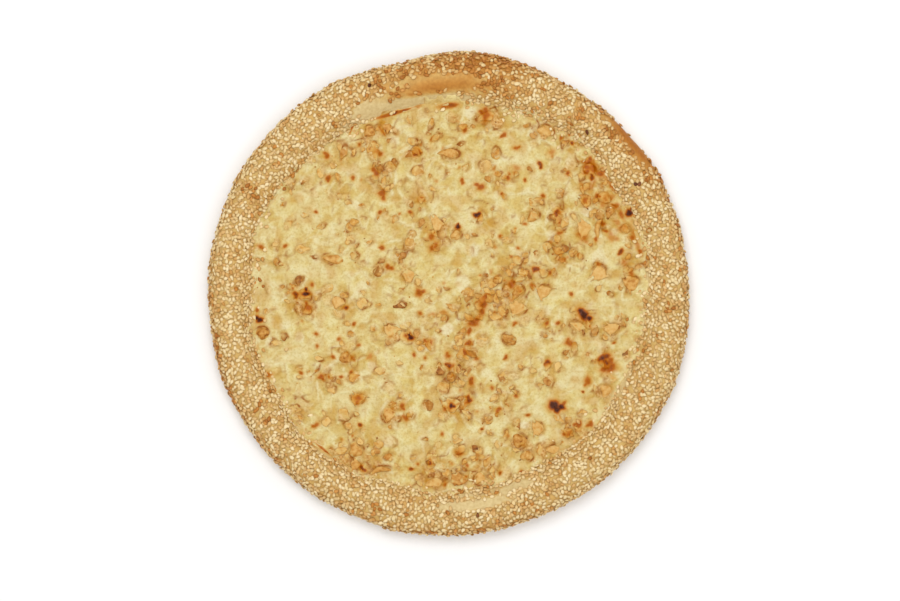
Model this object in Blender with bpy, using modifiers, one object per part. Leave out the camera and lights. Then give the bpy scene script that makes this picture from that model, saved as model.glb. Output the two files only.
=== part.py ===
"""A hazelnut and sesame pizza, whole and uncut.

crust          one piece of baked dough: a flat base and a puffed rim, with sesame seeds baked on to the rim
cheese         the layer of melted cheese inside the rim, with small chopped hazelnuts melted into it
hazelnut_NN    each hazelnut piece as large as a berry, lying in its own hollow of the cheese

Metres, +Z up. The origin is the middle of the flat underside. Directions are in degrees from +X towards +Y,
and +Y is the side with the darkest rim.
"""

import math
import random

import bmesh
import bpy
from mathutils import Matrix, Vector, noise

MM = 0.001

# Driving dimensions
PIZZA_RADIUS = 158.6 * MM
CHEESE_RADIUS = 129 * MM  # where the rim's inner slope rises out of the cheese
BASE_THICKNESS = 8 * MM  # dough under the cheese
CHEESE_LEVEL = 13.2 * MM  # mean height of the cheese's top
RIM_HEIGHT = 22 * MM
RIM_WIDEST_AT = 9.5 * MM  # height of the rim's outermost line
FOOT_TUCK = 10 * MM  # how far the rim curls in above the table
RIM_FULLNESS = (2.1, 0.75)  # of its inner and outer halves: below 1 is fuller than an ellipse
GAP = 0.3 * MM  # between pieces that touch

SEED_LENGTH = 3.5 * MM
SEED_WIDTH = 2.1 * MM
SEED_THICKNESS = 1.3 * MM
SEED_ROWS = ((30, 20), (50, 23), (70, 25), (92, 26), (116, 27))  # degrees over the rim, seeds in the row
HAZELNUT_HEIGHT = 5.2 * MM
HAZELNUT_STANDS = 2.2 * MM  # of that height, what stands out of the cheese
CHOPPED_COUNT = 34
CHOPPED_SIZES = (4.2 * MM, 6.2 * MM)

TURN_STEPS = 60
RIM_POINTS = 11  # over the rim, from the cheese to the outermost line
FOOT_POINTS = 4
CHEESE_RINGS = 9

# Unevenness round the pizza. Each lobe is its direction, its half width in degrees and its size in mm.
OUTLINE_LOBES = (
    (38, 14, 1.3),
    (80, 10, 2.1),
    (104, 12, -3.0),
    (188, 16, -0.7),
    (258, 9, 1.1),
    (286, 10, -0.5),
    (316, 12, 1.3),
    (342, 12, 1.9),
)
CHEESE_EDGE_LOBES = (
    (14, 10, 3.5),
    (48, 14, 3.5),
    (108, 26, -3.6),
    (150, 6, 3.0),
    (163, 9, 4.5),
    (180, 7, -1.5),
    (195, 12, 3.0),
    (224, 8, 5.5),
    (242, 7, 5.0),
    (265, 6, 2.5),
    (296, 8, -2.0),
    (315, 8, 2.0),
    (334, 12, -1.3),
)
RIM_HEIGHT_LOBES = (
    (20, 24, -1.2),
    (92, 30, 1.6),
    (150, 18, -0.9),
    (205, 30, 1.0),
    (262, 16, -1.4),
    (310, 26, 0.8),
)

# The larger hazelnut pieces, as they lie: form, x, y, length, width in mm, and the direction of the length
HAZELNUTS = (
    ("dome", 64, 108, 12, 8, -8),
    ("chunk", -52, 107, 9, 9, 30),
    ("chunk", -40, 109, 7.5, 7, 75),
    ("chunk", 25, 117, 13, 8, 20),
    ("chunk", 94, 82, 11, 9, 120),
    ("dome", 103, 64, 10, 8, -15),
    ("cut", 91, 62, 8.5, 8, 40),
    ("chunk", 107, 54, 8, 7, 60),
    ("cut", 90, 43, 10, 12, 10),
    ("crescent", 100, 44, 15, 5, 78),
    ("dome", 117, 43, 8, 7.5, 0),
    ("cut", 121, 7, 11, 10, 25),
    ("cut", 100, 14, 11, 9.5, 100),
    ("chunk", 56, 51, 10, 8, 35),
    ("chunk", 46, 1, 10.5, 8, 50),
    ("cut", 46, -10, 12, 8, 5),
    ("cut", 63, 2, 10, 8, 20),
    ("dome", 41, -30, 11, 8, -35),
    ("cut", -7, 46, 8, 10, 10),
    ("dome", 5, 39, 8, 7.5, 0),
    ("cut", -26, 12, 9, 8.5, 15),
    ("chunk", -73, -6, 9, 10, 60),
    ("chunk", -95, -1, 10, 8, 150),
    ("chunk", -93, -11, 8, 7, 20),
    ("dome", -123, -26, 9, 9, 80),
    ("cut", -38, -24, 10, 8, 10),
    ("dome", -68, -42, 10, 8, 20),
    ("dome", -61, -103, 10.5, 11, 30),
    ("cut", -61, -113, 8, 7, 0),
    ("crescent", -45, -117, 16, 6, 12),
    ("cut", -60, -69, 10, 8, 15),
    ("chunk", -39, -80, 10, 9.5, 60),
    ("cut", 2, -74, 13, 10, 20),
    ("chunk", -9, -125, 12, 8, 10),
    ("cut", 7, -123, 11, 9, 0),
    ("chunk", 21, -122, 9, 8, 45),
    ("dome", 47, -97, 10, 10.5, 40),
    ("cut", 59, -89, 8.5, 9, 0),
    ("dome", 52, -107, 9, 8, 10),
    ("chunk", 68.4, -103.2, 9, 7, -5),
    ("dome", 104, -64, 9, 8.5, 60),
    ("cut", 108, -23, 10, 8.5, 25),
    ("chunk", 85, -21, 10.5, 7, -30),
    ("chunk", -76, 23, 15, 7, -12),
    ("chunk", 0, 93, 15, 7, -4),
)


def collection(name):
    made = bpy.data.collections.new(name)
    bpy.context.scene.collection.children.link(made)
    return made


def clear_scene():
    for obj in list(bpy.data.objects):
        bpy.data.objects.remove(obj)


def material(name, colour, roughness):
    made = bpy.data.materials.new(name)
    made.use_nodes = True
    shader = made.node_tree.nodes["Principled BSDF"]
    shader.inputs["Base Color"].default_value = (*colour, 1)
    shader.inputs["Roughness"].default_value = roughness
    shader.inputs["Metallic"].default_value = 0
    return made


def lobed(direction, lobes):
    """How far the lobes reach out at a direction, in metres."""
    total = 0
    for at, half_width, size in lobes:
        away = (direction - at + 180) % 360 - 180
        total += size * math.exp(-((away / half_width) ** 2))
    return total * MM


def outer_radius(direction):
    return PIZZA_RADIUS + lobed(direction, OUTLINE_LOBES)


def cheese_edge(direction):
    return CHEESE_RADIUS + lobed(direction, CHEESE_EDGE_LOBES)


def rim_height(direction):
    return RIM_HEIGHT + lobed(direction, RIM_HEIGHT_LOBES)


def dough_waves(place):
    """Soft dents and swellings of the dough, in metres."""
    return 0.9 * MM * noise.noise(place / (22 * MM)) + 0.5 * MM * noise.noise(place / (9 * MM))


def rim_section(over):
    """The even rim's radius and height at an angle over it: 0 at the cheese, 180 at the outermost line."""
    turn = math.radians(over)
    middle = (PIZZA_RADIUS + CHEESE_RADIUS) / 2
    half_width = (PIZZA_RADIUS - CHEESE_RADIUS) / 2
    foot = CHEESE_LEVEL + (RIM_WIDEST_AT - CHEESE_LEVEL) * over / 180
    fullness = RIM_FULLNESS[0] if over < 90 else RIM_FULLNESS[1]
    rise = (RIM_HEIGHT - (CHEESE_LEVEL + RIM_WIDEST_AT) / 2) * max(math.sin(turn), 0) ** fullness
    return middle - half_width * math.cos(turn), foot + rise


def uneven(radius, height, direction):
    """Where a point of the even pizza lies on the real one."""
    inner, outer = cheese_edge(direction), outer_radius(direction)
    if radius > CHEESE_RADIUS:
        radius = inner + (radius - CHEESE_RADIUS) / (PIZZA_RADIUS - CHEESE_RADIUS) * (outer - inner)
        if height > CHEESE_LEVEL:
            taller = (rim_height(direction) - CHEESE_LEVEL) / (RIM_HEIGHT - CHEESE_LEVEL)
            height = CHEESE_LEVEL + (height - CHEESE_LEVEL) * taller
    else:
        radius *= inner / CHEESE_RADIUS
    turn = math.radians(direction)
    outwards = Vector((math.cos(turn), math.sin(turn), 0))
    spot = outwards * radius + Vector((0, 0, height))
    if radius > inner + 1 * MM and height > 1 * MM:
        core = outwards * (inner + outer) / 2 + Vector((0, 0, RIM_WIDEST_AT))
        spot += (spot - core).normalized() * dough_waves(spot)
    return spot


def rim_point(direction, over):
    """A point on the rim's surface and the direction that it faces."""
    radius, height = rim_section(over)
    spot = uneven(radius, height, direction)
    step = 1.0
    along = uneven(radius, height, direction + step) - spot
    radius, height = rim_section(over + step)
    across = uneven(radius, height, direction) - spot
    return spot, across.cross(along).normalized()


def turned(name, profile):
    """A solid turned from (radius, height) points, from the middle of its top down its outside."""
    mesh = bpy.data.meshes.new(name)
    edges = [(i, i + 1) for i in range(len(profile) - 1)]
    mesh.from_pydata([(radius, 0, height) for radius, height in profile], edges, [])
    obj = bpy.data.objects.new(name, mesh)
    PIZZA.objects.link(obj)
    screw = obj.modifiers.new("turn", "SCREW")
    screw.steps = screw.render_steps = TURN_STEPS
    screw.use_merge_vertices = True
    screw.merge_threshold = 0.01 * MM
    apply_modifiers(obj)
    return obj


def apply_modifiers(obj):
    graph = bpy.context.evaluated_depsgraph_get()
    obj.data = bpy.data.meshes.new_from_object(obj.evaluated_get(graph))
    obj.modifiers.clear()


def combine(obj, operation, pieces):
    """Joins a collection's pieces to obj, or cuts them out of it, and removes them."""
    boolean = obj.modifiers.new("combine", "BOOLEAN")
    boolean.operation = operation
    boolean.operand_type = "COLLECTION"
    boolean.collection = pieces
    boolean.solver = "MANIFOLD"
    apply_modifiers(obj)
    drop_scraps(obj)
    for piece in list(pieces.objects):
        bpy.data.objects.remove(piece)
    bpy.data.collections.remove(pieces)


def drop_scraps(obj):
    """Keeps the largest body of a mesh, without the slivers that cuts leave between hollows."""
    bm = bmesh.new()
    bm.from_mesh(obj.data)
    waiting = set(bm.verts)
    bodies = []
    while waiting:
        body = {waiting.pop()}
        reached = list(body)
        while reached:
            vertex = reached.pop()
            near = {edge.other_vert(vertex) for edge in vertex.link_edges} & waiting
            waiting -= near
            body |= near
            reached.extend(near)
        bodies.append(body)
    largest = max(bodies, key=len)
    bmesh.ops.delete(bm, geom=[vertex for vertex in bm.verts if vertex not in largest], context="VERTS")
    bm.to_mesh(obj.data)
    bm.free()


def mesh_from(name, build):
    """A mesh that build(bm) makes in a bmesh."""
    bm = bmesh.new()
    build(bm)
    mesh = bpy.data.meshes.new(name)
    bm.to_mesh(mesh)
    bm.free()
    return mesh


def place(mesh, name, into, at, facing, spin):
    """Sets a mesh down at a point, its own +Z along facing and turned about it by spin degrees."""
    obj = bpy.data.objects.new(name, mesh)
    stand = Vector((0, 0, 1)).rotation_difference(facing).to_matrix().to_4x4()
    obj.matrix_world = Matrix.Translation(at) @ stand @ Matrix.Rotation(math.radians(spin), 4, "Z")
    into.objects.link(obj)
    return obj


# The dough and its sesame


def crust_profile():
    floor = BASE_THICKNESS
    points = [(0, floor), (CHEESE_RADIUS / 2, floor), (CHEESE_RADIUS, floor)]
    points += [rim_section(180 * i / RIM_POINTS) for i in range(RIM_POINTS + 1)]
    for i in range(1, FOOT_POINTS + 1):
        turn = math.radians(90 * i / FOOT_POINTS)
        radius = PIZZA_RADIUS - FOOT_TUCK * (1 - math.cos(turn))
        points.append((radius, RIM_WIDEST_AT * (1 - math.sin(turn))))
    points[-1] = (points[-1][0], 0)
    return points + [(CHEESE_RADIUS / 2, 0), (0, 0)]


def seed_mesh():
    """A hulled sesame seed, long along X, blunt at one end and pointed at the other."""

    def build(bm):
        bmesh.ops.create_uvsphere(bm, u_segments=6, v_segments=3, radius=0.5)
        bm.transform(Matrix.Rotation(math.radians(90), 4, "Y"))
        for vertex in bm.verts:
            taper = 1.15 if vertex.co.x > 0 else 0.85
            vertex.co.y *= taper
            vertex.co.z *= taper
        bm.transform(Matrix.Diagonal((SEED_LENGTH, SEED_WIDTH, SEED_THICKNESS, 1)))

    return mesh_from("sesame_seed", build)


def add_sesame(crust):
    draw = random.Random(11)
    seeds = collection("sesame")
    mesh = seed_mesh()
    for row, (over, count) in enumerate(SEED_ROWS):
        for i in range(count):
            direction = 360 * (i + 0.5 * (row % 2)) / count + draw.uniform(-2, 2)
            spot, facing = rim_point(direction, over + draw.uniform(-5, 5))
            place(mesh, "seed", seeds, spot + facing * 0.15 * MM, facing, draw.uniform(0, 360))
    combine(crust, "UNION", seeds)


def make_crust():
    crust = turned("crust", crust_profile())
    for vertex in crust.data.vertices:
        radius = math.hypot(vertex.co.x, vertex.co.y)
        direction = math.degrees(math.atan2(vertex.co.y, vertex.co.x))
        vertex.co = uneven(radius, vertex.co.z, direction)
    add_sesame(crust)
    crust.data.materials.append(material("baked_dough", (0.62, 0.38, 0.14), 0.6))
    crust.data.shade_smooth()
    crust.data.set_sharp_from_angle(angle=math.radians(35))
    return crust


# The hazelnuts, each a size along X, Y and Z about its own middle


def dome(bm, size):
    """Half a nut with its round side up."""
    bmesh.ops.create_uvsphere(bm, u_segments=8, v_segments=4, radius=0.5)
    flatten_below(bm, -0.3)
    bm.transform(Matrix.Diagonal((*size, 1)))


def cut(bm, size):
    """Half a nut with its flat, split side up."""
    dome(bm, size)
    bm.transform(Matrix.Rotation(math.radians(180), 4, "X") @ Matrix.Rotation(math.radians(7), 4, "Y"))


def chunk(bm, size):
    """A piece chopped out of a nut, with four broken faces."""
    bmesh.ops.create_icosphere(bm, subdivisions=1, radius=0.55)
    for slope, direction, depth in ((15, 20, 0.3), (60, 130, 0.36), (70, 250, 0.34), (55, 340, 0.4)):
        lean, turn = math.radians(slope), math.radians(direction)
        normal = Vector((math.sin(lean) * math.cos(turn), math.sin(lean) * math.sin(turn), math.cos(lean)))
        geometry = bm.verts[:] + bm.edges[:] + bm.faces[:]
        spot = normal * depth
        bmesh.ops.bisect_plane(bm, geom=geometry, plane_co=spot, plane_no=normal, clear_outer=True)
        open_edges = [edge for edge in bm.edges if edge.is_boundary]
        bmesh.ops.holes_fill(bm, edges=open_edges)
    bmesh.ops.recalc_face_normals(bm, faces=bm.faces)
    bm.transform(Matrix.Diagonal((*size, 1)))


def crescent(bm, size):
    """A curved sliver with a thick middle and thin ends."""
    length, width, height = size
    bmesh.ops.create_uvsphere(bm, u_segments=6, v_segments=6, radius=0.5)
    bm.transform(Matrix.Rotation(math.radians(90), 4, "Y"))
    bm.transform(Matrix.Diagonal((length, width * 0.7, height, 1)))
    bow = width * 0.45
    for vertex in bm.verts:
        along = 2 * vertex.co.x / length
        vertex.co.y += bow * (0.5 - along * along)


def flatten_below(bm, level):
    for vertex in bm.verts:
        vertex.co.z = max(vertex.co.z, level)
    bmesh.ops.remove_doubles(bm, verts=bm.verts, dist=0.001)
    bmesh.ops.dissolve_limit(bm, angle_limit=0.01, verts=bm.verts, edges=bm.edges)


FORMS = {"dome": dome, "cut": cut, "chunk": chunk, "crescent": crescent}


def cheese_top(x, y):
    """Height of the melted cheese's surface."""
    spot = Vector((x, y, 0))
    soft = 0.55 * MM * noise.noise(spot / (26 * MM)) + 0.35 * MM * noise.noise(spot / (11 * MM))
    return CHEESE_LEVEL - 0.6 * MM + soft


def hazelnut(number, row, into, grown=0.0):
    """One hazelnut piece, or with grown above 0 the hollow that it lies in."""
    form, x, y, length, width, turn = row
    size = (length * MM + grown, width * MM + grown, HAZELNUT_HEIGHT + grown)
    mesh = mesh_from("hazelnut", lambda bm: FORMS[form](bm, size))
    x, y = x * MM, y * MM
    height = cheese_top(x, y) + HAZELNUT_STANDS - HAZELNUT_HEIGHT / 2
    return place(mesh, f"hazelnut_{number:02d}", into, Vector((x, y, height)), Vector((0, 0, 1)), turn)


def chopped_spots(draw):
    """Places for the small chopped pieces, clear of the large ones, of each other and of the rim."""
    taken = [(x * MM, y * MM, max(length, width) * MM / 2) for _, x, y, length, width, _ in HAZELNUTS]
    spots = []
    while len(spots) < CHOPPED_COUNT:
        direction = draw.uniform(0, 360)
        radius = cheese_edge(direction) * math.sqrt(draw.random())
        size = draw.uniform(*CHOPPED_SIZES)
        x, y = radius * math.cos(math.radians(direction)), radius * math.sin(math.radians(direction))
        inside = radius < cheese_edge(direction) - size
        if inside and all(math.hypot(x - a, y - b) > size / 2 + r + 1.5 * MM for a, b, r in taken):
            taken.append((x, y, size / 2))
            spots.append((x, y, size))
    return spots


def add_chopped(cheese):
    draw = random.Random(5)
    pieces = collection("chopped")
    for x, y, size in chopped_spots(draw):
        shape = (size, size * draw.uniform(0.6, 0.9), size * 0.7)
        mesh = mesh_from("chopped", lambda bm, shape=shape: chopped_piece(bm, shape))
        facing = Vector((draw.uniform(-0.3, 0.3), draw.uniform(-0.3, 0.3), 1)).normalized()
        spot = Vector((x, y, cheese_top(x, y) + 0.4 * MM))
        place(mesh, "chopped", pieces, spot, facing, draw.uniform(0, 360))
    combine(cheese, "UNION", pieces)


def chopped_piece(bm, shape):
    bmesh.ops.create_icosphere(bm, subdivisions=1, radius=0.5)
    bm.transform(Matrix.Diagonal((*shape, 1)))


def make_cheese():
    edge = CHEESE_RADIUS - GAP
    top = CHEESE_LEVEL
    profile = [(edge * i / CHEESE_RINGS, top) for i in range(CHEESE_RINGS + 1)]
    profile += [(edge, BASE_THICKNESS + GAP), (0, BASE_THICKNESS + GAP)]
    cheese = turned("cheese", profile)
    for vertex in cheese.data.vertices:
        radius = math.hypot(vertex.co.x, vertex.co.y)
        on_top = vertex.co.z > top - GAP
        direction = math.degrees(math.atan2(vertex.co.y, vertex.co.x))
        vertex.co = uneven(radius, vertex.co.z, direction)
        if on_top:
            vertex.co.z = cheese_top(vertex.co.x, vertex.co.y)
    hollows = collection("hollows")
    for number, row in enumerate(HAZELNUTS, 1):
        hazelnut(number, row, hollows, grown=0.8 * MM)
    combine(cheese, "DIFFERENCE", hollows)
    add_chopped(cheese)
    cheese.data.materials.append(material("melted_cheese", (0.72, 0.58, 0.28), 0.4))
    cheese.data.shade_smooth()
    cheese.data.set_sharp_from_angle(angle=math.radians(35))
    return cheese


def make_hazelnuts():
    nut = material("toasted_hazelnut", (0.63, 0.4, 0.16), 0.5)
    for number, row in enumerate(HAZELNUTS, 1):
        obj = hazelnut(number, row, PIZZA)
        obj.data.materials.append(nut)


clear_scene()
PIZZA = collection("hazelnut_sesame_pizza")
make_crust()
make_cheese()
make_hazelnuts()
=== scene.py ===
# %% [markdown]
# # A hazelnut and sesame pizza
# The real thing is a round of baked dough with a puffed rim under sesame seeds. Inside the rim lies a
# layer of melted cheese with chopped hazelnuts in it, and it is seen here from straight above. The simple
# solids of the part are loaded first. Each one is then replaced by a dressed piece with its true surface
# and finish.

# %% Load the solids
import itertools
import math

import bmesh
import bpy
import numpy as np
from mathutils import Matrix, Vector, noise


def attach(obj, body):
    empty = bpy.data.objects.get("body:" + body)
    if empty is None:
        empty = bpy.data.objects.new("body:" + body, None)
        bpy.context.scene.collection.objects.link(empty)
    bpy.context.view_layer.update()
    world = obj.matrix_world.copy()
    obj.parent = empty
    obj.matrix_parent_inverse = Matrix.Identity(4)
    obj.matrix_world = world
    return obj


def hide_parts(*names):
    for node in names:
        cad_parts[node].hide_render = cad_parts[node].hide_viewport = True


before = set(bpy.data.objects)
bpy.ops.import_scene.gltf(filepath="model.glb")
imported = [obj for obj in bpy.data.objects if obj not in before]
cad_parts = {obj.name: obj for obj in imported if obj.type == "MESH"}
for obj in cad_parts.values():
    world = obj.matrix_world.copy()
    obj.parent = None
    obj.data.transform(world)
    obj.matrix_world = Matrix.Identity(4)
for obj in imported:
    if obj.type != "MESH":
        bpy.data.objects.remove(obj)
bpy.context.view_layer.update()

bpy.ops.object.select_all(action="DESELECT")
print("nodes:", len(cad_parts))

# %% [markdown]
# ## Sizes
# The dressed pieces have to lie where the solids do, so they are worked out from the same sizes: the same
# radii, the same lobes that make the outline uneven, and the same places for the larger hazelnuts.

# %% Sizes of the pizza
MM = 0.001
PIZZA_RADIUS = 158.6 * MM
CHEESE_RADIUS = 129 * MM
BASE_THICKNESS = 8 * MM
CHEESE_LEVEL = 13.2 * MM
RIM_HEIGHT = 22 * MM
RIM_WIDEST_AT = 9.5 * MM
FOOT_TUCK = 10 * MM
RIM_FULLNESS = (2.1, 0.75)  # of its inner and its outer half: the lower, the rounder
RIM_MIDDLE = (PIZZA_RADIUS + CHEESE_RADIUS) / 2
RIM_HALF_WIDTH = (PIZZA_RADIUS - CHEESE_RADIUS) / 2
HAZELNUT_HEIGHT = 5.2 * MM
HAZELNUT_STANDS = 2.2 * MM

# Each lobe is its direction and half width in degrees, and its size in mm
OUTLINE_LOBES = (
    (38, 14, 1.3),
    (80, 10, 2.1),
    (104, 12, -3.0),
    (188, 16, -0.7),
    (258, 9, 1.1),
    (286, 10, -0.5),
    (316, 12, 1.3),
    (342, 12, 1.9),
)
CHEESE_EDGE_LOBES = (
    (14, 10, 3.5),
    (48, 14, 3.5),
    (108, 26, -3.6),
    (150, 6, 3.0),
    (163, 9, 4.5),
    (180, 7, -1.5),
    (195, 12, 3.0),
    (224, 8, 5.5),
    (242, 7, 5.0),
    (265, 6, 2.5),
    (296, 8, -2.0),
    (315, 8, 2.0),
    (334, 12, -1.3),
)
RIM_HEIGHT_LOBES = (
    (20, 24, -1.2),
    (92, 30, 1.6),
    (150, 18, -0.9),
    (205, 30, 1.0),
    (262, 16, -1.4),
    (310, 26, 0.8),
)

# The larger hazelnut pieces: form, x, y, length, width in mm, and the direction of the length
HAZELNUTS = (
    ("dome", 64, 108, 12, 8, -8),
    ("chunk", -52, 107, 9, 9, 30),
    ("chunk", -40, 109, 7.5, 7, 75),
    ("chunk", 25, 117, 13, 8, 20),
    ("chunk", 94, 82, 11, 9, 120),
    ("dome", 103, 64, 10, 8, -15),
    ("cut", 91, 62, 8.5, 8, 40),
    ("chunk", 107, 54, 8, 7, 60),
    ("cut", 90, 43, 10, 12, 10),
    ("crescent", 100, 44, 15, 5, 78),
    ("dome", 117, 43, 8, 7.5, 0),
    ("cut", 121, 7, 11, 10, 25),
    ("cut", 100, 14, 11, 9.5, 100),
    ("chunk", 56, 51, 10, 8, 35),
    ("chunk", 46, 1, 10.5, 8, 50),
    ("cut", 46, -10, 12, 8, 5),
    ("cut", 63, 2, 10, 8, 20),
    ("dome", 41, -30, 11, 8, -35),
    ("cut", -7, 46, 8, 10, 10),
    ("dome", 5, 39, 8, 7.5, 0),
    ("cut", -26, 12, 9, 8.5, 15),
    ("chunk", -73, -6, 9, 10, 60),
    ("chunk", -95, -1, 10, 8, 150),
    ("chunk", -93, -11, 8, 7, 20),
    ("dome", -123, -26, 9, 9, 80),
    ("cut", -38, -24, 10, 8, 10),
    ("dome", -68, -42, 10, 8, 20),
    ("dome", -61, -103, 10.5, 11, 30),
    ("cut", -61, -113, 8, 7, 0),
    ("crescent", -45, -117, 16, 6, 12),
    ("cut", -60, -69, 10, 8, 15),
    ("chunk", -39, -80, 10, 9.5, 60),
    ("cut", 2, -74, 13, 10, 20),
    ("chunk", -9, -125, 12, 8, 10),
    ("cut", 7, -123, 11, 9, 0),
    ("chunk", 21, -122, 9, 8, 45),
    ("dome", 47, -97, 10, 10.5, 40),
    ("cut", 59, -89, 8.5, 9, 0),
    ("dome", 52, -107, 9, 8, 10),
    ("chunk", 68.4, -103.2, 9, 7, -5),
    ("dome", 104, -64, 9, 8.5, 60),
    ("cut", 108, -23, 10, 8.5, 25),
    ("chunk", 85, -21, 10.5, 7, -30),
    ("chunk", -76, 23, 15, 7, -12),
    ("chunk", 0, 93, 15, 7, -4),
)
print("pizza", round(2 * PIZZA_RADIUS / MM), "mm across,", len(HAZELNUTS), "large hazelnut pieces")

# %% Where a point of the even pizza lies on the uneven one
def angle_between(first, second):
    return (first - second + 180) % 360 - 180


def lobed(direction, lobes):
    total = 0
    for at, half_width, size in lobes:
        total += size * math.exp(-((angle_between(direction, at) / half_width) ** 2))
    return total * MM


def outer_radius(direction):
    return PIZZA_RADIUS + lobed(direction, OUTLINE_LOBES)


def cheese_edge(direction):
    return CHEESE_RADIUS + lobed(direction, CHEESE_EDGE_LOBES)


def dough_waves(place):
    return 0.9 * MM * noise.noise(place / (22 * MM)) + 0.5 * MM * noise.noise(place / (9 * MM))


def rim_section(over):
    """The even rim's radius and height at an angle over it: 0 at the cheese, 180 at the outermost line."""
    turn = math.radians(over)
    foot = CHEESE_LEVEL + (RIM_WIDEST_AT - CHEESE_LEVEL) * over / 180
    fullness = RIM_FULLNESS[0] if over < 90 else RIM_FULLNESS[1]
    rise = (RIM_HEIGHT - (CHEESE_LEVEL + RIM_WIDEST_AT) / 2) * max(math.sin(turn), 0) ** fullness
    return RIM_MIDDLE - RIM_HALF_WIDTH * math.cos(turn), foot + rise


def uneven(radius, height, direction):
    inner, outer = cheese_edge(direction), outer_radius(direction)
    if radius > CHEESE_RADIUS:
        radius = inner + (radius - CHEESE_RADIUS) / (PIZZA_RADIUS - CHEESE_RADIUS) * (outer - inner)
        if height > CHEESE_LEVEL:
            taller = RIM_HEIGHT + lobed(direction, RIM_HEIGHT_LOBES) - CHEESE_LEVEL
            height = CHEESE_LEVEL + (height - CHEESE_LEVEL) * taller / (RIM_HEIGHT - CHEESE_LEVEL)
    else:
        radius *= inner / CHEESE_RADIUS
    turn = math.radians(direction)
    outwards = Vector((math.cos(turn), math.sin(turn), 0))
    spot = outwards * radius + Vector((0, 0, height))
    if radius > inner + 1 * MM and height > 1 * MM:
        core = outwards * (inner + outer) / 2 + Vector((0, 0, RIM_WIDEST_AT))
        spot += (spot - core).normalized() * dough_waves(spot)
    return spot


def cheese_top(x, y):
    """Height of the cheese's surface before its fine relief."""
    spot = Vector((x, y, 0))
    soft = 0.55 * MM * noise.noise(spot / (26 * MM)) + 0.35 * MM * noise.noise(spot / (11 * MM))
    return CHEESE_LEVEL - 0.6 * MM + soft


# The spots of the real pizza are written down as pixels of its photograph, taken from straight above
PHOTO_MIDDLE = (448, 294)
PIXEL = 0.661 * MM


def from_photograph(x, y):
    """A place on the pizza, in metres, for a pixel of the photograph."""
    return (x - PHOTO_MIDDLE[0]) * PIXEL, (PHOTO_MIDDLE[1] - y) * PIXEL


for direction in (0, 90):
    print("cheese edge at", direction, "degrees:", round(cheese_edge(direction) / MM, 1), "mm")

# %% [markdown]
# ## Colours and materials
# A hex colour is written as the eye sees it (sRGB), while a shader counts light, so one function turns
# the one into the other. Another adds a node to a material with its settings and links, and every
# material below is made with it. The short ones after it add the kinds of node that come up most.

# %% Colour and node helpers
def linear(hex_colour):
    """An sRGB hex colour as the linear RGBA that shaders use."""
    channels = [int(hex_colour[i : i + 2], 16) / 255 for i in (1, 3, 5)]
    return (*[c / 12.92 if c <= 0.04045 else ((c + 0.055) / 1.055) ** 2.4 for c in channels], 1)


def new_material(name):
    made = bpy.data.materials.new(name)
    made.use_nodes = True
    return made


def add_node(material, kind, inputs=None, stops=None, **settings):
    """Adds a shader node. An input is given by name or number, as a value or as another node's output."""
    made = material.node_tree.nodes.new(kind)
    for name, value in settings.items():
        setattr(made, name, value)
    for place, (position, colour) in enumerate(stops or ()):
        elements = made.color_ramp.elements
        element = elements[place] if place < len(elements) else elements.new(position)
        element.position = position
        element.color = linear(colour)
    for socket, value in (inputs or {}).items():
        if isinstance(value, bpy.types.NodeSocket):
            material.node_tree.links.new(value, made.inputs[socket])
        else:
            made.inputs[socket].default_value = value
    return made


def shader_of(material, **inputs):
    """Sets or links the inputs of the material's Principled shader, with _ for a space in their names."""
    shader = material.node_tree.nodes["Principled BSDF"]
    for name, value in inputs.items():
        socket = shader.inputs[name.replace("_", " ")]
        if isinstance(value, bpy.types.NodeSocket):
            material.node_tree.links.new(value, socket)
        else:
            socket.default_value = value


FACTOR, FIRST, SECOND, MIXED = 0, 6, 7, 2  # the colour sockets of a Mix node


def mix_colours(material, factor, first, second, blend="MIX"):
    mix = add_node(
        material,
        "ShaderNodeMix",
        {FACTOR: factor, FIRST: first, SECOND: second},
        data_type="RGBA",
        blend_type=blend,
    )
    return mix.outputs[MIXED]


def attribute(material, name):
    return add_node(material, "ShaderNodeAttribute", attribute_name=name).outputs["Fac"]


def maths(material, operation, *values, clamped=False):
    inputs = dict(enumerate(values))
    return add_node(material, "ShaderNodeMath", inputs, operation=operation, use_clamp=clamped).outputs[0]


def ramp(material, factor, stops):
    return add_node(material, "ShaderNodeValToRGB", {"Fac": factor}, stops).outputs["Color"]


def grain_of(material, size, detail):
    """A fine noise in the piece's own coordinates, of a size in metres."""
    place = add_node(material, "ShaderNodeTexCoord").outputs["Object"]
    inputs = {"Vector": place, "Scale": 1 / size, "Detail": detail}
    return add_node(material, "ShaderNodeTexNoise", inputs).outputs["Fac"]


def bump(material, height, strength, distance):
    inputs = {"Height": height, "Strength": strength, "Distance": distance}
    return add_node(material, "ShaderNodeBump", inputs).outputs["Normal"]


print("cream in linear light:", [round(c, 3) for c in linear("#E8D6AC")])

# %% Mesh helpers
def only(obj):
    """Makes obj the one selected and active object."""
    bpy.ops.object.select_all(action="DESELECT")
    obj.select_set(True)
    bpy.context.view_layer.objects.active = obj


def settle(obj, name):
    """Names a new piece and writes its place, turn and size into its mesh."""
    only(obj)
    bpy.ops.object.transform_apply(location=True, rotation=True, scale=True)
    obj.name = obj.data.name = name
    return obj


def smooth_step(low, high, value):
    """0 up to low, 1 from high on, and an even curve between them."""
    share = np.clip((value - low) / (high - low), 0, 1)
    return share * share * (3 - 2 * share)


def points_of(mesh):
    flat = np.empty(len(mesh.vertices) * 3, dtype=np.float32)
    mesh.vertices.foreach_get("co", flat)
    return flat.reshape(-1, 3).astype(np.float64)


def set_points(mesh, points):
    mesh.vertices.foreach_set("co", np.asarray(points, dtype=np.float32).ravel())
    mesh.update()


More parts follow.
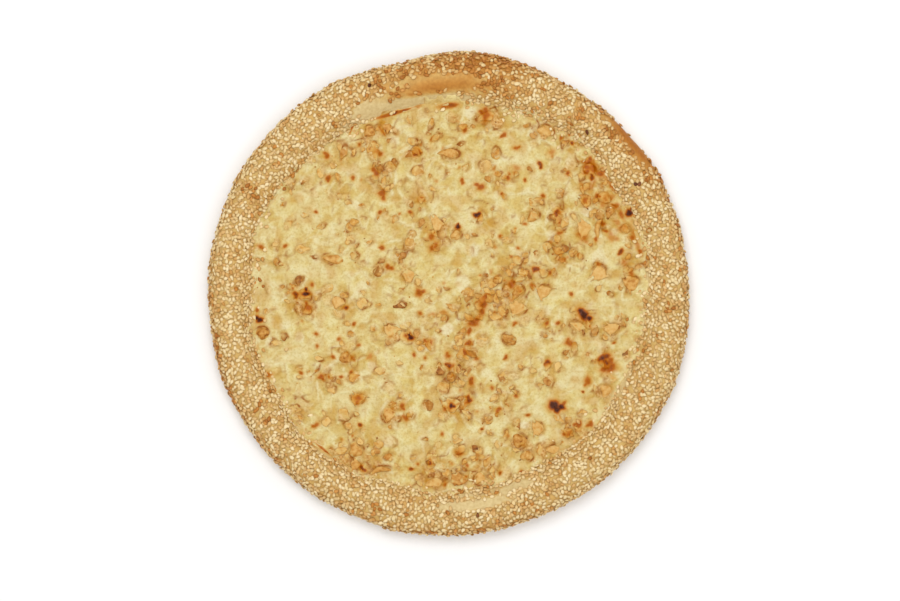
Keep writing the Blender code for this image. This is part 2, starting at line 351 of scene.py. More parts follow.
def set_attribute(mesh, name, values):
    made = mesh.attributes.new(name, "FLOAT", "POINT")
    made.data.foreach_set("value", np.asarray(values, dtype=np.float32).ravel())


def joined_copies(name, patterns, places, shades):
    """One mesh of many copies. A place is a pattern's number and a matrix. Each copy keeps its shade."""
    points, corners, starts, point_shades = [], [], [], []
    point_count, corner_count = 0, 0
    shapes = []
    for pattern in patterns:
        mesh = pattern.data
        loops = np.empty(len(mesh.loops), dtype=np.int64)
        mesh.loops.foreach_get("vertex_index", loops)
        first = np.empty(len(mesh.polygons), dtype=np.int64)
        mesh.polygons.foreach_get("loop_start", first)
        shapes.append((points_of(mesh), loops, first))
    for (which, matrix), shade in zip(places, shades):
        local, loops, first = shapes[which]
        grid = np.array(matrix)
        points.append(local @ grid[:3, :3].T + grid[:3, 3])
        corners.append(loops + point_count)
        starts.append(first + corner_count)
        point_shades.append(np.full(len(local), shade))
        point_count += len(local)
        corner_count += len(loops)
    mesh = bpy.data.meshes.new(name)
    mesh.vertices.add(point_count)
    mesh.loops.add(corner_count)
    all_starts = np.concatenate(starts)
    mesh.polygons.add(len(all_starts))
    mesh.vertices.foreach_set("co", np.concatenate(points).astype(np.float32).ravel())
    mesh.loops.foreach_set("vertex_index", np.concatenate(corners).astype(np.int32))
    mesh.polygons.foreach_set("loop_start", all_starts.astype(np.int32))
    mesh.update(calc_edges=True)
    mesh.validate()
    mesh.shade_smooth()
    set_attribute(mesh, "shade", np.concatenate(point_shades))
    obj = bpy.data.objects.new(name, mesh)
    bpy.context.scene.collection.objects.link(obj)
    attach(obj, "root")
    return obj


def triangles(obj):
    return sum(len(polygon.vertices) - 2 for polygon in obj.data.polygons)


print("helpers ready")

# %% [markdown]
# ## The dough
# Real pizza dough is one piece: a flat base and a rim that puffed up in the oven. It could be sculpted,
# but a round of dough is nearly a turned shape. So a single point is extruded along half of its section,
# the line is spun round the middle, and the result is then made as uneven as the real one.

# %% The even dough
RIM_POINTS = 58
FOOT_POINTS = 12
SPIN_STEPS = 720

section = [
    (0, BASE_THICKNESS),
    (CHEESE_RADIUS * 0.96, BASE_THICKNESS),
    (CHEESE_RADIUS * 0.985, CHEESE_LEVEL),
]
section += [rim_section(180 * i / RIM_POINTS) for i in range(1, RIM_POINTS + 1)]
for i in range(1, FOOT_POINTS + 1):
    turn = math.radians(90 * i / FOOT_POINTS)
    section.append((PIZZA_RADIUS - FOOT_TUCK * (1 - math.cos(turn)), RIM_WIDEST_AT * (1 - math.sin(turn))))
section += [(CHEESE_RADIUS, 0), (0, 0)]

bpy.ops.object.select_all(action="DESELECT")
bpy.ops.mesh.primitive_plane_add(size=1 * MM, location=(0, 0, 0))
dough = bpy.context.object
bpy.ops.object.mode_set(mode="EDIT")
bpy.ops.mesh.select_all(action="SELECT")
bpy.ops.mesh.merge(type="CENTER")
bpy.ops.transform.translate(value=(0, 0, section[0][1]))
for (radius, height), (next_radius, next_height) in zip(section, section[1:]):
    step = (next_radius - radius, 0, next_height - height)
    bpy.ops.mesh.extrude_region_move(TRANSFORM_OT_translate={"value": step})
bpy.ops.mesh.select_all(action="SELECT")
bpy.ops.mesh.spin(steps=SPIN_STEPS, angle=2 * math.pi, center=(0, 0, 0), axis=(0, 0, 1))
bpy.ops.mesh.select_all(action="SELECT")
bpy.ops.mesh.remove_doubles(threshold=0.01 * MM)
bpy.ops.mesh.normals_make_consistent(inside=False)
bpy.ops.object.mode_set(mode="OBJECT")
settle(dough, "dough")
print("dough:", len(dough.data.vertices), "points,", triangles(dough), "triangles")

# %% [markdown]
# The baked rim swells and dips over a few centimetres, and its skin is slightly wrinkled between the
# seeds. The large waves are those of the solid, and the small ones are added here. Two functions say how
# toasted the dough is and how bare of seeds, and the seeds are laid by them too. The bare strips along
# the cheese stayed pale, so the material takes its paleness from how bare they are.

# %% How toasted and how bare the dough is
# Direction, half width in degrees, angle over the rim, its half width, and how toasted
TOASTED = (
    (92, 20, 105, 60, 0.4),
    (78, 9, 150, 40, 0.5),
    (39, 11, 154, 30, 0.8),
    (40, 12, 115, 30, 0.2),
    (92, 13, 68, 20, 0.72),
    (103, 18, 34, 18, -0.6),
    (12, 16, 165, 25, 0.15),
    (268, 24, 160, 24, 0.25),
    (205, 22, 160, 26, 0.2),
    (140, 16, 30, 20, 0.2),
    (232, 6, 12, 14, 0.5),
)

# Direction, half width in degrees, radius in mm, its half width, and how bare
BARE = (
    (101, 18, 129.5, 4.3, 1.0),
    (112, 6, 134.5, 3.8, 1.0),
    (92, 13, 139, 6.5, 1.0),
    (40, 9, 157, 3.2, 0.8),
    (40, 3.5, 127.5, 4.5, 1.0),
    (24, 2.5, 131, 3.2, 1.0),
    (3, 6, 130.5, 3, 0.6),
    (277.5, 10, 140, 3.2, 1.0),
    (289, 5, 134.5, 2.8, 0.95),
    (279, 7, 133.2, 1.4, 0.5),
    (232, 4, 131.8, 3, 0.7),
    (154, 3, 130.5, 3, 0.8),
    (333, 5, 130, 2.4, 0.5),
)


def toastedness(direction, over):
    total = 0.12
    for at, half_width, across, half_across, amount in TOASTED:
        away = angle_between(direction, at) / half_width
        total = total + amount * np.exp(-(away**2) - ((over - across) / half_across) ** 2)
    return np.maximum(total, 0)


def bareness(direction, radius):
    """How bare of seeds the dough is: 1 in the middle of a bare strip, with a ragged border."""
    waves = np.sin(0.9 * direction + 0.8 * radius / MM) + np.sin(2.3 * direction - 1.3 * radius / MM)
    total = 0
    for at, half_width, middle, half_across, amount in BARE:
        away = angle_between(direction, at) / half_width
        across = (radius / MM - middle) / half_across
        out = (away**4 + across**4) ** 0.25 + 0.13 * waves
        total = np.maximum(total, amount * (1 - smooth_step(0.7, 1.15, out)))
    return total


even = points_of(dough.data)
even_radius = np.hypot(even[:, 0], even[:, 1])
direction = np.degrees(np.arctan2(even[:, 1], even[:, 0]))
on_rim = (even_radius > CHEESE_RADIUS - 0.01 * MM) & (even[:, 2] > RIM_WIDEST_AT - 0.01 * MM)
over_rim = np.degrees(np.arccos(np.clip((RIM_MIDDLE - even_radius) / RIM_HALF_WIDTH, -1, 1)))
past_rim = 190 + (RIM_WIDEST_AT - even[:, 2]) / MM * 4  # on the foot, growing downwards
over = np.where(on_rim, over_rim, np.where(even_radius > CHEESE_RADIUS, past_rim, -20))

shaped = np.empty_like(even)
for i, (radius, height, at) in enumerate(zip(even_radius, even[:, 2], direction)):
    spot = uneven(radius, height, at)
    if radius > CHEESE_RADIUS and height > 2 * MM:
        spot.z += 0.22 * MM * noise.noise(spot / (4.5 * MM)) + 0.12 * MM * noise.noise(spot / (2 * MM))
    shaped[i] = spot
set_points(dough.data, shaped)
toasted_at = toastedness(direction, over)
set_attribute(dough.data, "toast", toasted_at)
shaped_radius = np.hypot(shaped[:, 0], shaped[:, 1])
pale = bareness(direction, shaped_radius) * smooth_step(151 * MM, 146 * MM, shaped_radius)
set_attribute(dough.data, "pale", pale * (shaped[:, 2] > RIM_WIDEST_AT))
dough.data.shade_smooth()
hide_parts("crust")
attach(dough, "root")
print("rim is toasted up to", round(float(toasted_at[on_rim].max()), 2))

# %% [markdown]
# Baked dough is matte with a faint sheen where its skin browned. Its colour goes from pale straw on the
# smooth strips along the cheese to orange brown where it stood highest in the oven, in soft blotches
# about 16 mm wide and fine ones of 2 mm. The underside is an even, light brown.

# %% Baked dough
baked_dough = new_material("baked_dough_crust")
blotches = grain_of(baked_dough, 16 * MM, 4.0)
specks = grain_of(baked_dough, 2.2 * MM, 3.0)
uneven_toast = maths(baked_dough, "MULTIPLY_ADD", blotches, 0.5, attribute(baked_dough, "toast"))
paler = maths(baked_dough, "MULTIPLY_ADD", attribute(baked_dough, "pale"), -0.4, -0.1)
crust_colour = ramp(
    baked_dough,
    maths(baked_dough, "ADD", uneven_toast, paler),
    ((0.0, "#DEC68E"), (0.25, "#D8B46C"), (0.6, "#CE9648"), (1.0, "#B87220")),
)
speck_colour = ramp(baked_dough, specks, ((0.3, "#E2D8C8"), (0.7, "#FFFFFF")))
shader_of(
    baked_dough,
    Base_Color=mix_colours(baked_dough, 0.8, crust_colour, speck_colour, "MULTIPLY"),
    Roughness=0.62,
    Specular_IOR_Level=0.25,
    Normal=bump(baked_dough, specks, 0.6, 0.3 * MM),
)
dough.data.materials.clear()
dough.data.materials.append(baked_dough)
print("material:", baked_dough.name)

# %% [markdown]
# ## The sesame seeds
# A hulled sesame seed is a flat teardrop, and a large one is about 3.7 mm long, 2.5 mm wide and 1.3 mm
# thick. One seed is modelled from a sphere. Thousands of copies then lie on the rim, so a seed has only a
# few dozen faces.

# %% One seed
SEED_LENGTH = 3.7 * MM
SEED_WIDTH = 2.5 * MM
SEED_THICKNESS = 1.3 * MM

bpy.ops.object.select_all(action="DESELECT")
bpy.ops.mesh.primitive_uv_sphere_add(segments=8, ring_count=4, radius=0.5)
seed = bpy.context.object
seed.rotation_euler = (0, math.radians(90), 0)
seed.scale = (SEED_THICKNESS, SEED_WIDTH, SEED_LENGTH)
settle(seed, "one_seed")
bpy.ops.object.mode_set(mode="EDIT")
for side, fuller in ((1, 1.15), (-1, 0.72)):
    bpy.ops.mesh.select_all(action="DESELECT")
    shape = bmesh.from_edit_mesh(seed.data)
    for vertex in shape.verts:
        vertex.select = vertex.co.x * side > 0.1 * SEED_LENGTH
    shape.select_flush_mode()
    bmesh.update_edit_mesh(seed.data)
    bpy.ops.transform.resize(value=(1, fuller, fuller), center_override=(0, 0, 0))
bpy.ops.object.mode_set(mode="OBJECT")
# Painted shade: the lower half of each seed is darkened, partly for its darker margin and partly for the
# shade where it lies on the dough
seed_margin_and_shade = 0.6 * smooth_step(0.36, 0, points_of(seed.data)[:, 2] / SEED_THICKNESS)
print("seed:", [round(size / MM, 2) for size in seed.dimensions], "mm,", triangles(seed), "triangles")

# %% [markdown]
# Seeds that were pressed into wet dough lie every way, but never in each other's place. So places are
# drawn at random over the rim, and one that is too near to a seed already laid is dropped. That gives the
# even, dense cover of the real rim. A second, thinner layer lies loosely on the first, and some seeds
# spilled on the cheese along its edge.

# %% Where the seeds lie
def surface_samples(obj, wanted, count, draw):
    """Random points spread evenly over the wanted faces, with the direction that each faces."""
    mesh = obj.data
    areas = np.empty(len(mesh.polygons))
    mesh.polygons.foreach_get("area", areas)
    normals = np.empty(len(mesh.polygons) * 3)
    mesh.polygons.foreach_get("normal", normals)
    normals = normals.reshape(-1, 3)
    by_corners = sorted(range(len(areas)), key=lambda face: sorted(mesh.polygons[face].vertices))
    order = np.array(by_corners)  # Blender may number the faces otherwise in each run
    weights = (areas * wanted)[order]
    faces = order[draw.choice(len(areas), size=count, p=weights / weights.sum())]
    points = points_of(mesh)
    spots = np.empty((count, 3))
    for i, face in enumerate(faces):
        corners = points[sorted(mesh.polygons[face].vertices)]
        share = draw.dirichlet(np.ones(len(corners)))
        spots[i] = share @ corners
    return spots, normals[faces], faces


def spread_out(spots, spacing):
    """The numbers of the spots that are at least a spacing from every earlier one that is kept."""
    cells = {}
    kept = []
    for number, spot in enumerate(spots.tolist()):
        row, column, level = (int(side // spacing) for side in spot)
        close = []
        for a, b, c in itertools.product((-1, 0, 1), repeat=3):
            close += cells.get((row + a, column + b, level + c), ())
        if all(math.dist(spot, other) >= spacing for other in close):
            cells.setdefault((row, column, level), []).append(spot)
            kept.append(number)
    return kept


SEED_SPACING = 2.05 * MM
LOOSE_SPACING = 5 * MM
LOWEST_SEED = 2.4 * MM
RIM_TRIES, LOOSE_TRIES, SPILL_TRIES = 33000, 9000, 1300

draw = np.random.default_rng(3)
face_over = np.array([over[list(polygon.vertices)].mean() for polygon in dough.data.polygons])
face_height = np.array([shaped[list(polygon.vertices), 2].mean() for polygon in dough.data.polygons])
seeded = (face_over > 1) & (face_height > LOWEST_SEED)
spots, facings, faces = surface_samples(dough, seeded, RIM_TRIES, draw)
spot_direction = np.degrees(np.arctan2(spots[:, 1], spots[:, 0]))
spot_over = face_over[faces]
bare = bareness(spot_direction, np.hypot(spots[:, 0], spots[:, 1]))
fewer = np.clip((spot_over - 185) / 32, 0, 1)  # down the foot
thin = np.array([smooth_step(0.1, 0.45, noise.noise(Vector(spot) / (13 * MM))) for spot in spots])
lies = draw.random(len(spots)) > np.maximum.reduce((1 - (1 - bare) ** 3, fewer, 0.15 * thin))

spilled = []
spilled_direction = []
for at in draw.uniform(-180, 180, SPILL_TRIES):
    radius = cheese_edge(at) + (1.5 - draw.exponential(2.6)) * MM
    x, y = radius * math.cos(math.radians(at)), radius * math.sin(math.radians(at))
    strewn = 0.35 + 1.6 * noise.noise(Vector((x, y, 0)) / (11 * MM)) - bareness(at, radius + 3.5 * MM)
    if draw.random() < strewn:
        spilled.append((x, y, cheese_top(x, y) - 0.1 * MM))
        spilled_direction.append(at)
spots = np.vstack((spilled, spots[lies]))
facings = np.vstack((np.tile((0, 0, 1), (len(spilled), 1)), facings[lies]))
spot_over = np.concatenate((np.full(len(spilled), 5), spot_over[lies]))
spot_direction = np.concatenate((spilled_direction, spot_direction[lies]))

first_layer = spread_out(spots, SEED_SPACING)
loose = np.arange(len(spots))[::-1][:LOOSE_TRIES]
second_layer = [loose[i] for i in spread_out(spots[loose], LOOSE_SPACING)]
print("seeds:", len(first_layer), "in the first layer,", len(second_layer), "in the second")

# %% [markdown]
# The seeds took colour unevenly in the oven. Most stayed cream or went golden, some browned where the
# dough did, and a few scorched. Each kind gets its own piece, with a little difference from seed to seed.

# %% Lay the seeds
# Pixels of the photograph
TOASTED_CLUSTERS = (
    (286, 150), (256, 202), (250, 190), (230, 395), (376, 509), (669, 308), (579, 115), (573, 120),
)
SCORCHED_SEEDS = (
    (371, 86), (391, 90), (588, 134), (657, 183), (476, 514), (588, 460), (491, 504), (637, 185),
)
CLUSTER_RADIUS = 4.5 * MM
SCORCHED_RADIUS = 1.2 * MM
CREAM_UP_TO, GOLDEN_UP_TO = 0.48, 0.88


def stand_on(spot, facing, spin, tilt, size):
    """The 4 x 4 matrix of a thing that lies at a spot, with its own +Z along facing."""
    upright = Vector((0, 0, 1)).rotation_difference(Vector(facing)).to_matrix().to_4x4()
    tilted = Matrix.Rotation(tilt[0], 4, "X") @ Matrix.Rotation(tilt[1], 4, "Y")
    turned = Matrix.Rotation(spin, 4, "Z") @ tilted
    return Matrix.Translation(spot) @ upright @ turned @ Matrix.Diagonal((*size, 1))


def near_any(spot, places, reach):
    return any(math.hypot(spot.x - x, spot.y - y) < reach for x, y in places)


SEED_KINDS = ("cream", "golden", "toasted", "scorched")
seed_places = {kind: [] for kind in SEED_KINDS}
seed_shades = {kind: [] for kind in SEED_KINDS}
clusters = [from_photograph(*at) for at in TOASTED_CLUSTERS]
scorched = [from_photograph(*at) for at in SCORCHED_SEEDS]
for layer, numbers in enumerate((first_layer, second_layer)):
    for number in numbers:
        spot, facing = Vector(spots[number]), Vector(facings[number])
        lift = 0.25 * MM + layer * 0.7 * MM + draw.uniform(-0.15, 0.35) * MM
        tilt = draw.normal(0, 0.22, 2)
        grown = draw.normal(1, 0.08)
        size = (grown * draw.uniform(0.9, 1.08), grown, grown)
        matrix = stand_on(spot + facing * lift, facing, draw.uniform(0, 2 * math.pi), tilt, size)
        toasted = toastedness(spot_direction[number], spot_over[number])
        toasted += 0.22 * noise.noise(spot / (12 * MM)) + 0.6 * noise.noise(spot / (5 * MM))
        if near_any(spot, clusters, CLUSTER_RADIUS):
            toasted += 0.45
        luck = draw.random() * 0.6 + toasted
        kind = "cream" if luck < CREAM_UP_TO else "golden" if luck < GOLDEN_UP_TO else "toasted"
        if near_any(spot, scorched, SCORCHED_RADIUS):
            kind = "scorched"
        seed_places[kind].append((0, matrix))
        shade = draw.normal(0.45, 0.32) + 0.4 * (toasted - 0.2)
        seed_shades[kind].append(float(np.clip(shade, 0, 1)))

seed_pieces = {}
for kind in SEED_KINDS:
    seed_pieces[kind] = joined_copies(f"sesame_{kind}", [seed], seed_places[kind], seed_shades[kind])
    set_attribute(seed_pieces[kind].data, "margin_and_shade", np.tile(seed_margin_and_shade, len(seed_places[kind])))
    count = len(seed_places[kind])
    print(f"sesame_{kind}:", count, "seeds,", triangles(seed_pieces[kind]), "triangles")
bpy.data.objects.remove(seed)

# %% [markdown]
# A hulled seed is smooth and slightly oily, so it has a soft highlight. Its colour is never flat: the
# shade that each copy keeps runs through a narrow range of straw colours, and its lower half is painted
# darker, partly for its thin margin that toasts darker and partly as painted shade where it lies on the
# dough.

# %% Sesame
# Of each kind: the lightest, the usual and the darkest middle, and the darker lower half: its margin and
# painted shade
SEED_COLOURS = {
    "cream": ("#F1DAA8", "#E5CA90", "#D7B276", "#A87838"),
    "golden": ("#E8CA90", "#DBB170", "#C8924A", "#986624"),
    "toasted": ("#D69A50", "#C48234", "#AA6820", "#864A10"),
    "scorched": ("#8A5024", "#6A3410", "#4C1E06", "#3A1604"),
}
for kind, (lightest, usual, darkest, margin_and_shade) in SEED_COLOURS.items():
    hulled_sesame = new_material(f"hulled_sesame_{kind}")
    stops = ((0.0, lightest), (0.5, usual), (1.0, darkest))
    middle = ramp(hulled_sesame, attribute(hulled_sesame, "shade"), stops)
    # Painted shade: the lower half is mixed towards the darker colour, which also stands for the seed's
    # margin
    colour = mix_colours(hulled_sesame, attribute(hulled_sesame, "margin_and_shade"), middle, linear(margin_and_shade))
    shader_of(hulled_sesame, Base_Color=colour, Roughness=0.5, Specular_IOR_Level=0.3)
    seed_pieces[kind].data.materials.append(hulled_sesame)
print("seed materials:", len(SEED_COLOURS))

# %% [markdown]
# ## The cheese
# Melted cheese has no shape of its own. It takes that of the grated cheese and chopped nuts under it, and
# the oven browns what stands up. So its relief and colours are first painted as fields, which are square
# grids of numbers over the pizza: one for height, one for the nut that shows through, one for amber oil
# with painted shade along edges and in creases, one for golden browning with painted shade beside the
# strands, one for scorching with a few spots and streaks of painted shade in crevices, and one for creamy
# spots. A fine sheet of faces is laid over them afterwards.

# %% Fields over the cheese
CELL = 0.45 * MM
GRID = 624

axis = (np.arange(GRID) - GRID / 2) * CELL  # 140 mm each way
field_x, field_y = np.meshgrid(axis, axis, indexing="ij")
relief = np.zeros((GRID, GRID))
nut = np.zeros((GRID, GRID))
amber = np.zeros((GRID, GRID))
scorch = np.zeros((GRID, GRID))
cream = np.zeros((GRID, GRID))
gold = np.zeros((GRID, GRID))


def soft_noise(swell, number):
    """Smooth random swells of a size in metres, from 0 to 1, over the fields."""
    own = np.random.default_rng(number)
    count = int(GRID * CELL / swell) + 3
    lattice = own.random((count, count))
    at = (axis - axis[0]) / swell
    low = at.astype(int)
    share = smooth_step(0, 1, at - low)
    rows = lattice[low] * (1 - share)[:, None] + lattice[low + 1] * share[:, None]
    return rows[:, low] * (1 - share) + rows[:, low + 1] * share


def near(x, y, reach):
    """The part of the fields round a place, and how far its cells lie from the place along x and y."""
    first_row, last_row = (int(round((x + side * reach) / CELL + GRID / 2)) for side in (-1, 1))
    first_column, last_column = (int(round((y + side * reach) / CELL + GRID / 2)) for side in (-1, 1))
    part = (slice(max(first_row, 0), last_row + 1), slice(max(first_column, 0), last_column + 1))
    return part, field_x[part] - x, field_y[part] - y


def turned_shares(away_x, away_y, length, width, turn):
    """How far each cell lies along and across a turned thing: 0 at its middle and 1 at its end or side."""
    along = (away_x * math.cos(turn) + away_y * math.sin(turn)) / (length / 2)
    across = (-away_x * math.sin(turn) + away_y * math.cos(turn)) / (width / 2)
    return along, across


def chip_distance(away_x, away_y, length, width, turn, own):
    """0 in the middle of an angular chip and 1 at its edge."""
    along, across = turned_shares(away_x, away_y, length, width, turn)
    distance = 0.55 * np.hypot(along, across)
    sides = own.integers(5, 8)
    start = own.uniform(0, 2 * math.pi)
    for side in range(sides):
        facing = start + 2 * math.pi * (side + own.uniform(-0.25, 0.25)) / sides
        reach = own.uniform(0.72, 1.0)
        distance = np.maximum(distance, (along * math.cos(facing) + across * math.sin(facing)) / reach)
    return distance


def blurred(field, times):
    for _ in range(times):
        field = (field + np.roll(field, 1, 0) + np.roll(field, -1, 0)) / 3
        field = (field + np.roll(field, 1, 1) + np.roll(field, -1, 1)) / 3
    return field


print("fields:", GRID, "x", GRID, "cells of", CELL / MM, "mm")

# %% [markdown]
# The gratings melted into low, rounded mounds of 4 to 13 mm that overlap like pebbles, each a little
# paler or yellower than the next one. Some can still be told apart as short, bowed strands, with a thin
# line of painted shade along one side. A few stayed creamy white.

# %% Mounds of melted cheese
MOUNDS, STRANDS = 1700, 900

# Pixel of the photograph, and size there
CREAMY = (
    (587, 212, 10), (599, 258, 15), (534, 165, 8), (470, 112, 9), (285, 325, 10), (613, 232, 7),
    (475, 250, 10), (270, 342, 9), (552, 236, 9), (462, 283, 12), (425, 345, 9), (508, 300, 8),
    (300, 338, 9), (446, 330, 10), (548, 310, 8), (395, 140, 8), (505, 158, 7), (372, 366, 8),
    (486, 372, 9), (422, 440, 9), (520, 342, 9), (332, 232, 9), (362, 286, 9), (524, 425, 8),
    (388, 442, 9), (560, 385, 9), (318, 262, 8), (355, 205, 8),
)



def drawn_place(own, radius):
    """A random place, as likely to be anywhere within a radius of the middle."""
    way, reach = own.uniform(0, 2 * math.pi), radius * math.sqrt(own.random())
    return reach * math.cos(way), reach * math.sin(way)


own = np.random.default_rng(21)
for _ in range(MOUNDS):
    x, y = drawn_place(own, 137 * MM)
    size = own.uniform(4, 13) * MM
    part, away_x, away_y = near(x, y, size)
    turn = own.uniform(0, math.pi)
    distance = chip_distance(away_x, away_y, size, size * own.uniform(0.5, 0.9), turn, own)
    mound = own.uniform(0.25, 0.9) * MM * (1 - smooth_step(0.45, 1.1, distance))
    on_top = mound > relief[part]
    tone = own.normal(0.25, 0.16)
    painted = cream[part] + (tone - cream[part]) * (1 - smooth_step(0.75, 1.1, distance))
    cream[part] = np.where(on_top, painted, cream[part])
    relief[part] = np.maximum(relief[part], mound)

for _ in range(STRANDS):
    x, y = drawn_place(own, 134 * MM)
    length, width = own.uniform(6, 17) * MM, own.uniform(1.4, 2.8) * MM
    turn, bow = own.uniform(0, math.pi), own.uniform(-1.6, 1.6)
    part, away_x, away_y = near(x, y, length * 0.7)
    along, across = turned_shares(away_x, away_y, length, width, turn)
    across = across + bow * (along**2 - 0.4)
    distance = np.sqrt(along**4 + across**2)
    strand = 1 - smooth_step(0.6, 1.15, distance)
    relief[part] = np.maximum(relief[part], own.uniform(0.55, 1.0) * MM * strand + 0.3 * relief[part])
    cream[part] += (own.uniform(0.1, 0.75) - cream[part]) * strand
    # Painted shade: a thin golden-brown line along one side of each strand, where its shade falls
    underline_shade = np.exp(-(((distance - 1.15) / 0.22) ** 2)) * (across > 0)
    gold[part] = np.maximum(gold[part], own.uniform(0.1, 0.6) * underline_shade)

for x, y, size in CREAMY:
    x, y = from_photograph(x, y)
    size = size * PIXEL * 1.3
    part, away_x, away_y = near(x, y, size)
    distance = chip_distance(away_x, away_y, size * 1.25, size, own.uniform(0, math.pi), own)
    patch = 1 - smooth_step(0.7, 1.15, distance)
    cream[part] = np.maximum(cream[part], patch * own.uniform(0.75, 1.15))
    relief[part] = np.maximum(relief[part], 0.5 * MM * patch)
relief = blurred(relief, 1)
cream = blurred(cream, 1)
relief += 0.35 * MM * (soft_noise(2.4 * MM, 51) - 0.5) + 0.28 * MM * (soft_noise(1.2 * MM, 52) - 0.5)
print("mounds: up to", round(float(relief.max() / MM), 2), "mm high")

# %% [markdown]
# Chopped hazelnuts lie thickly in some places and thinly in others. Where one lies under the film of
# cheese, the film rises over it, the tan of the nut shows through, and amber oil collects round its edge,
# painted darker on one side as painted shade beside the lump.
# Where the film is gone, a real chip is added later. Their places are drawn by a rule from patches where
# the nuts lie thick.

# %% Chopped hazelnuts under the film
CHIPS, CHIP_TRIES = 860, 30000

# Pixel of the photograph, radius there, and how thick the nuts lie
NUTTY = (
    (372, 126, 22, 1.3), (340, 158, 22, 0.8), (386, 180, 20, 0.9), (300, 180, 16, 0.7), (415, 152, 14, 0.8),
    (440, 150, 18, 0.7), (487, 118, 13, 1.3), (546, 131, 16, 1.1), (570, 150, 16, 1.0), (500, 176, 16, 0.8),
    (596, 182, 22, 1.5), (606, 214, 18, 1.2), (560, 215, 16, 1.0), (482, 214, 15, 0.9), (438, 232, 18, 1.1),
    (400, 258, 16, 0.8), (302, 300, 17, 1.3), (348, 298, 15, 0.6), (264, 320, 12, 1.0), (562, 255, 18, 1.1),
    (522, 272, 22, 1.4), (496, 300, 24, 1.4), (632, 262, 14, 1.0), (452, 312, 22, 1.0), (470, 346, 18, 1.1),
    (456, 376, 20, 1.3), (424, 340, 16, 0.9), (345, 352, 16, 0.9), (325, 376, 16, 0.9), (392, 410, 15, 1.1),
    (458, 405, 17, 1.3), (355, 440, 20, 0.7), (372, 468, 20, 1.6), (346, 458, 14, 1.2), (438, 472, 24, 1.3),
    (478, 468, 18, 1.3), (520, 440, 16, 1.2), (541, 452, 15, 1.3), (576, 430, 16, 1.4), (600, 384, 14, 0.9),
    (606, 360, 15, 1.2), (584, 318, 14, 1.1), (552, 328, 16, 0.7), (612, 328, 14, 1.0), (500, 396, 16, 1.0),
    (300, 408, 16, 0.8), (420, 200, 20, 0.8), (532, 362, 16, 0.6), (280, 262, 16, 0.5), (330, 212, 14, 0.5),
)

thick = 0.24 + 0.45 * (soft_noise(14 * MM, 4) - 0.5)
for x, y, radius, amount in NUTTY:
    x, y = from_photograph(x, y)
    away = np.hypot(field_x - x, field_y - y) / (radius * PIXEL)
    thick = np.maximum(thick, amount * np.exp(-(away**2)) + thick * 0.35)


def field_at(field, x, y):
    return field[int(round(x / CELL + GRID / 2)), int(round(y / CELL + GRID / 2))]


chips = []
own = np.random.default_rng(8)
edge_of = {step: cheese_edge(step) for step in range(-180, 181)}
tries = 0
while len(chips) < CHIPS and tries < CHIP_TRIES:
    tries += 1
    way, reach = own.uniform(-180, 180), 134 * MM * math.sqrt(own.random())
    if reach > edge_of[round(way)] - 1 * MM:
        continue
    x, y = reach * math.cos(math.radians(way)), reach * math.sin(math.radians(way))
    if own.random() * 1.5 > field_at(thick, x, y):
        continue
    length = float(np.clip(own.lognormal(math.log(6), 0.36), 2.6, 11)) * MM
    width = length * own.uniform(0.5, 0.9)
    bare_share = float(np.clip(own.normal(0.36, 0.27) + 0.28 * field_at(thick, x, y), 0, 1))
    chips.append((x, y, length, width, own.uniform(0, math.pi), bare_share, int(own.integers(1 << 30))))
chips.sort(key=lambda chip: -chip[2])

lines = 0.25 + 1.1 * smooth_step(0.35, 0.75, soft_noise(3.5 * MM, 61))
for x, y, length, width, turn, bare_share, number in chips:
    part, away_x, away_y = near(x, y, length + 1 * MM)
    distance = chip_distance(away_x, away_y, length, width, turn, np.random.default_rng(number))
    reach = (distance - 1) * width / 2
    inside = 1 - smooth_step(-0.9 * MM, 0.15 * MM, reach)
    rise = min(0.5 * MM + 0.12 * length, 1.4 * MM) * (0.6 + 0.6 * bare_share)
    relief[part] = np.maximum(relief[part], rise * inside + 0.5 * relief[part])
    side = smooth_step(-0.35, 0.9, np.cos(np.arctan2(away_y, away_x) - number % 7))
    # Amber oil round the chip's edge, painted only on one side, where it also stands as painted shade
    # beside the lump
    amber_outline_and_shade = np.exp(-(((reach - 0.1 * MM) / (0.6 * MM)) ** 2)) * side * lines[part]
    halo = np.exp(-(np.maximum(reach, 0) / (1.1 * MM)) ** 2) * side
    browned_round = halo * (0.15 + 0.65 * bare_share) * (1 - 0.6 * inside)
    amber[part] = np.maximum(amber[part] * (1 - 0.55 * inside), amber_outline_and_shade * (0.24 + 0.56 * bare_share))
    gold[part] = np.maximum(gold[part] * (1 - 0.3 * inside), browned_round)
    nut[part] = np.maximum(nut[part] * (1 - 0.5 * inside), inside * bare_share)
creases = np.exp(-(((soft_noise(6 * MM, 71) - 0.5) / 0.03) ** 2))
creases = creases * smooth_step(0.4, 0.7, soft_noise(4 * MM, 72))
# Painted shade: the creases are darkened with amber, partly oil in them and partly the shade that falls
# into them
amber = np.maximum(amber, creases * (0.12 + 0.75 * smooth_step(0.15, 0.7, thick)))
relief -= 0.3 * MM * creases
plain = 1 - smooth_step(0.12, 0.5, blurred(thick, 2))
cream = np.maximum(cream * (1 - 0.5 * plain), 0.45 * plain * smooth_step(0.3, 0.7, soft_noise(9 * MM, 66)))
browner = smooth_step(0.35, 1.2, thick)
browner = browner * smooth_step(0.3, 0.7, 0.6 * soft_noise(6 * MM, 63) + 0.4 * soft_noise(2 * MM, 65))
gold = np.maximum(blurred(gold, 1), 0.6 * browner + 0.4 * smooth_step(0.6, 0.85, soft_noise(7 * MM, 64)))
relief = blurred(relief, 1)
print("chips under the film:", len(chips))
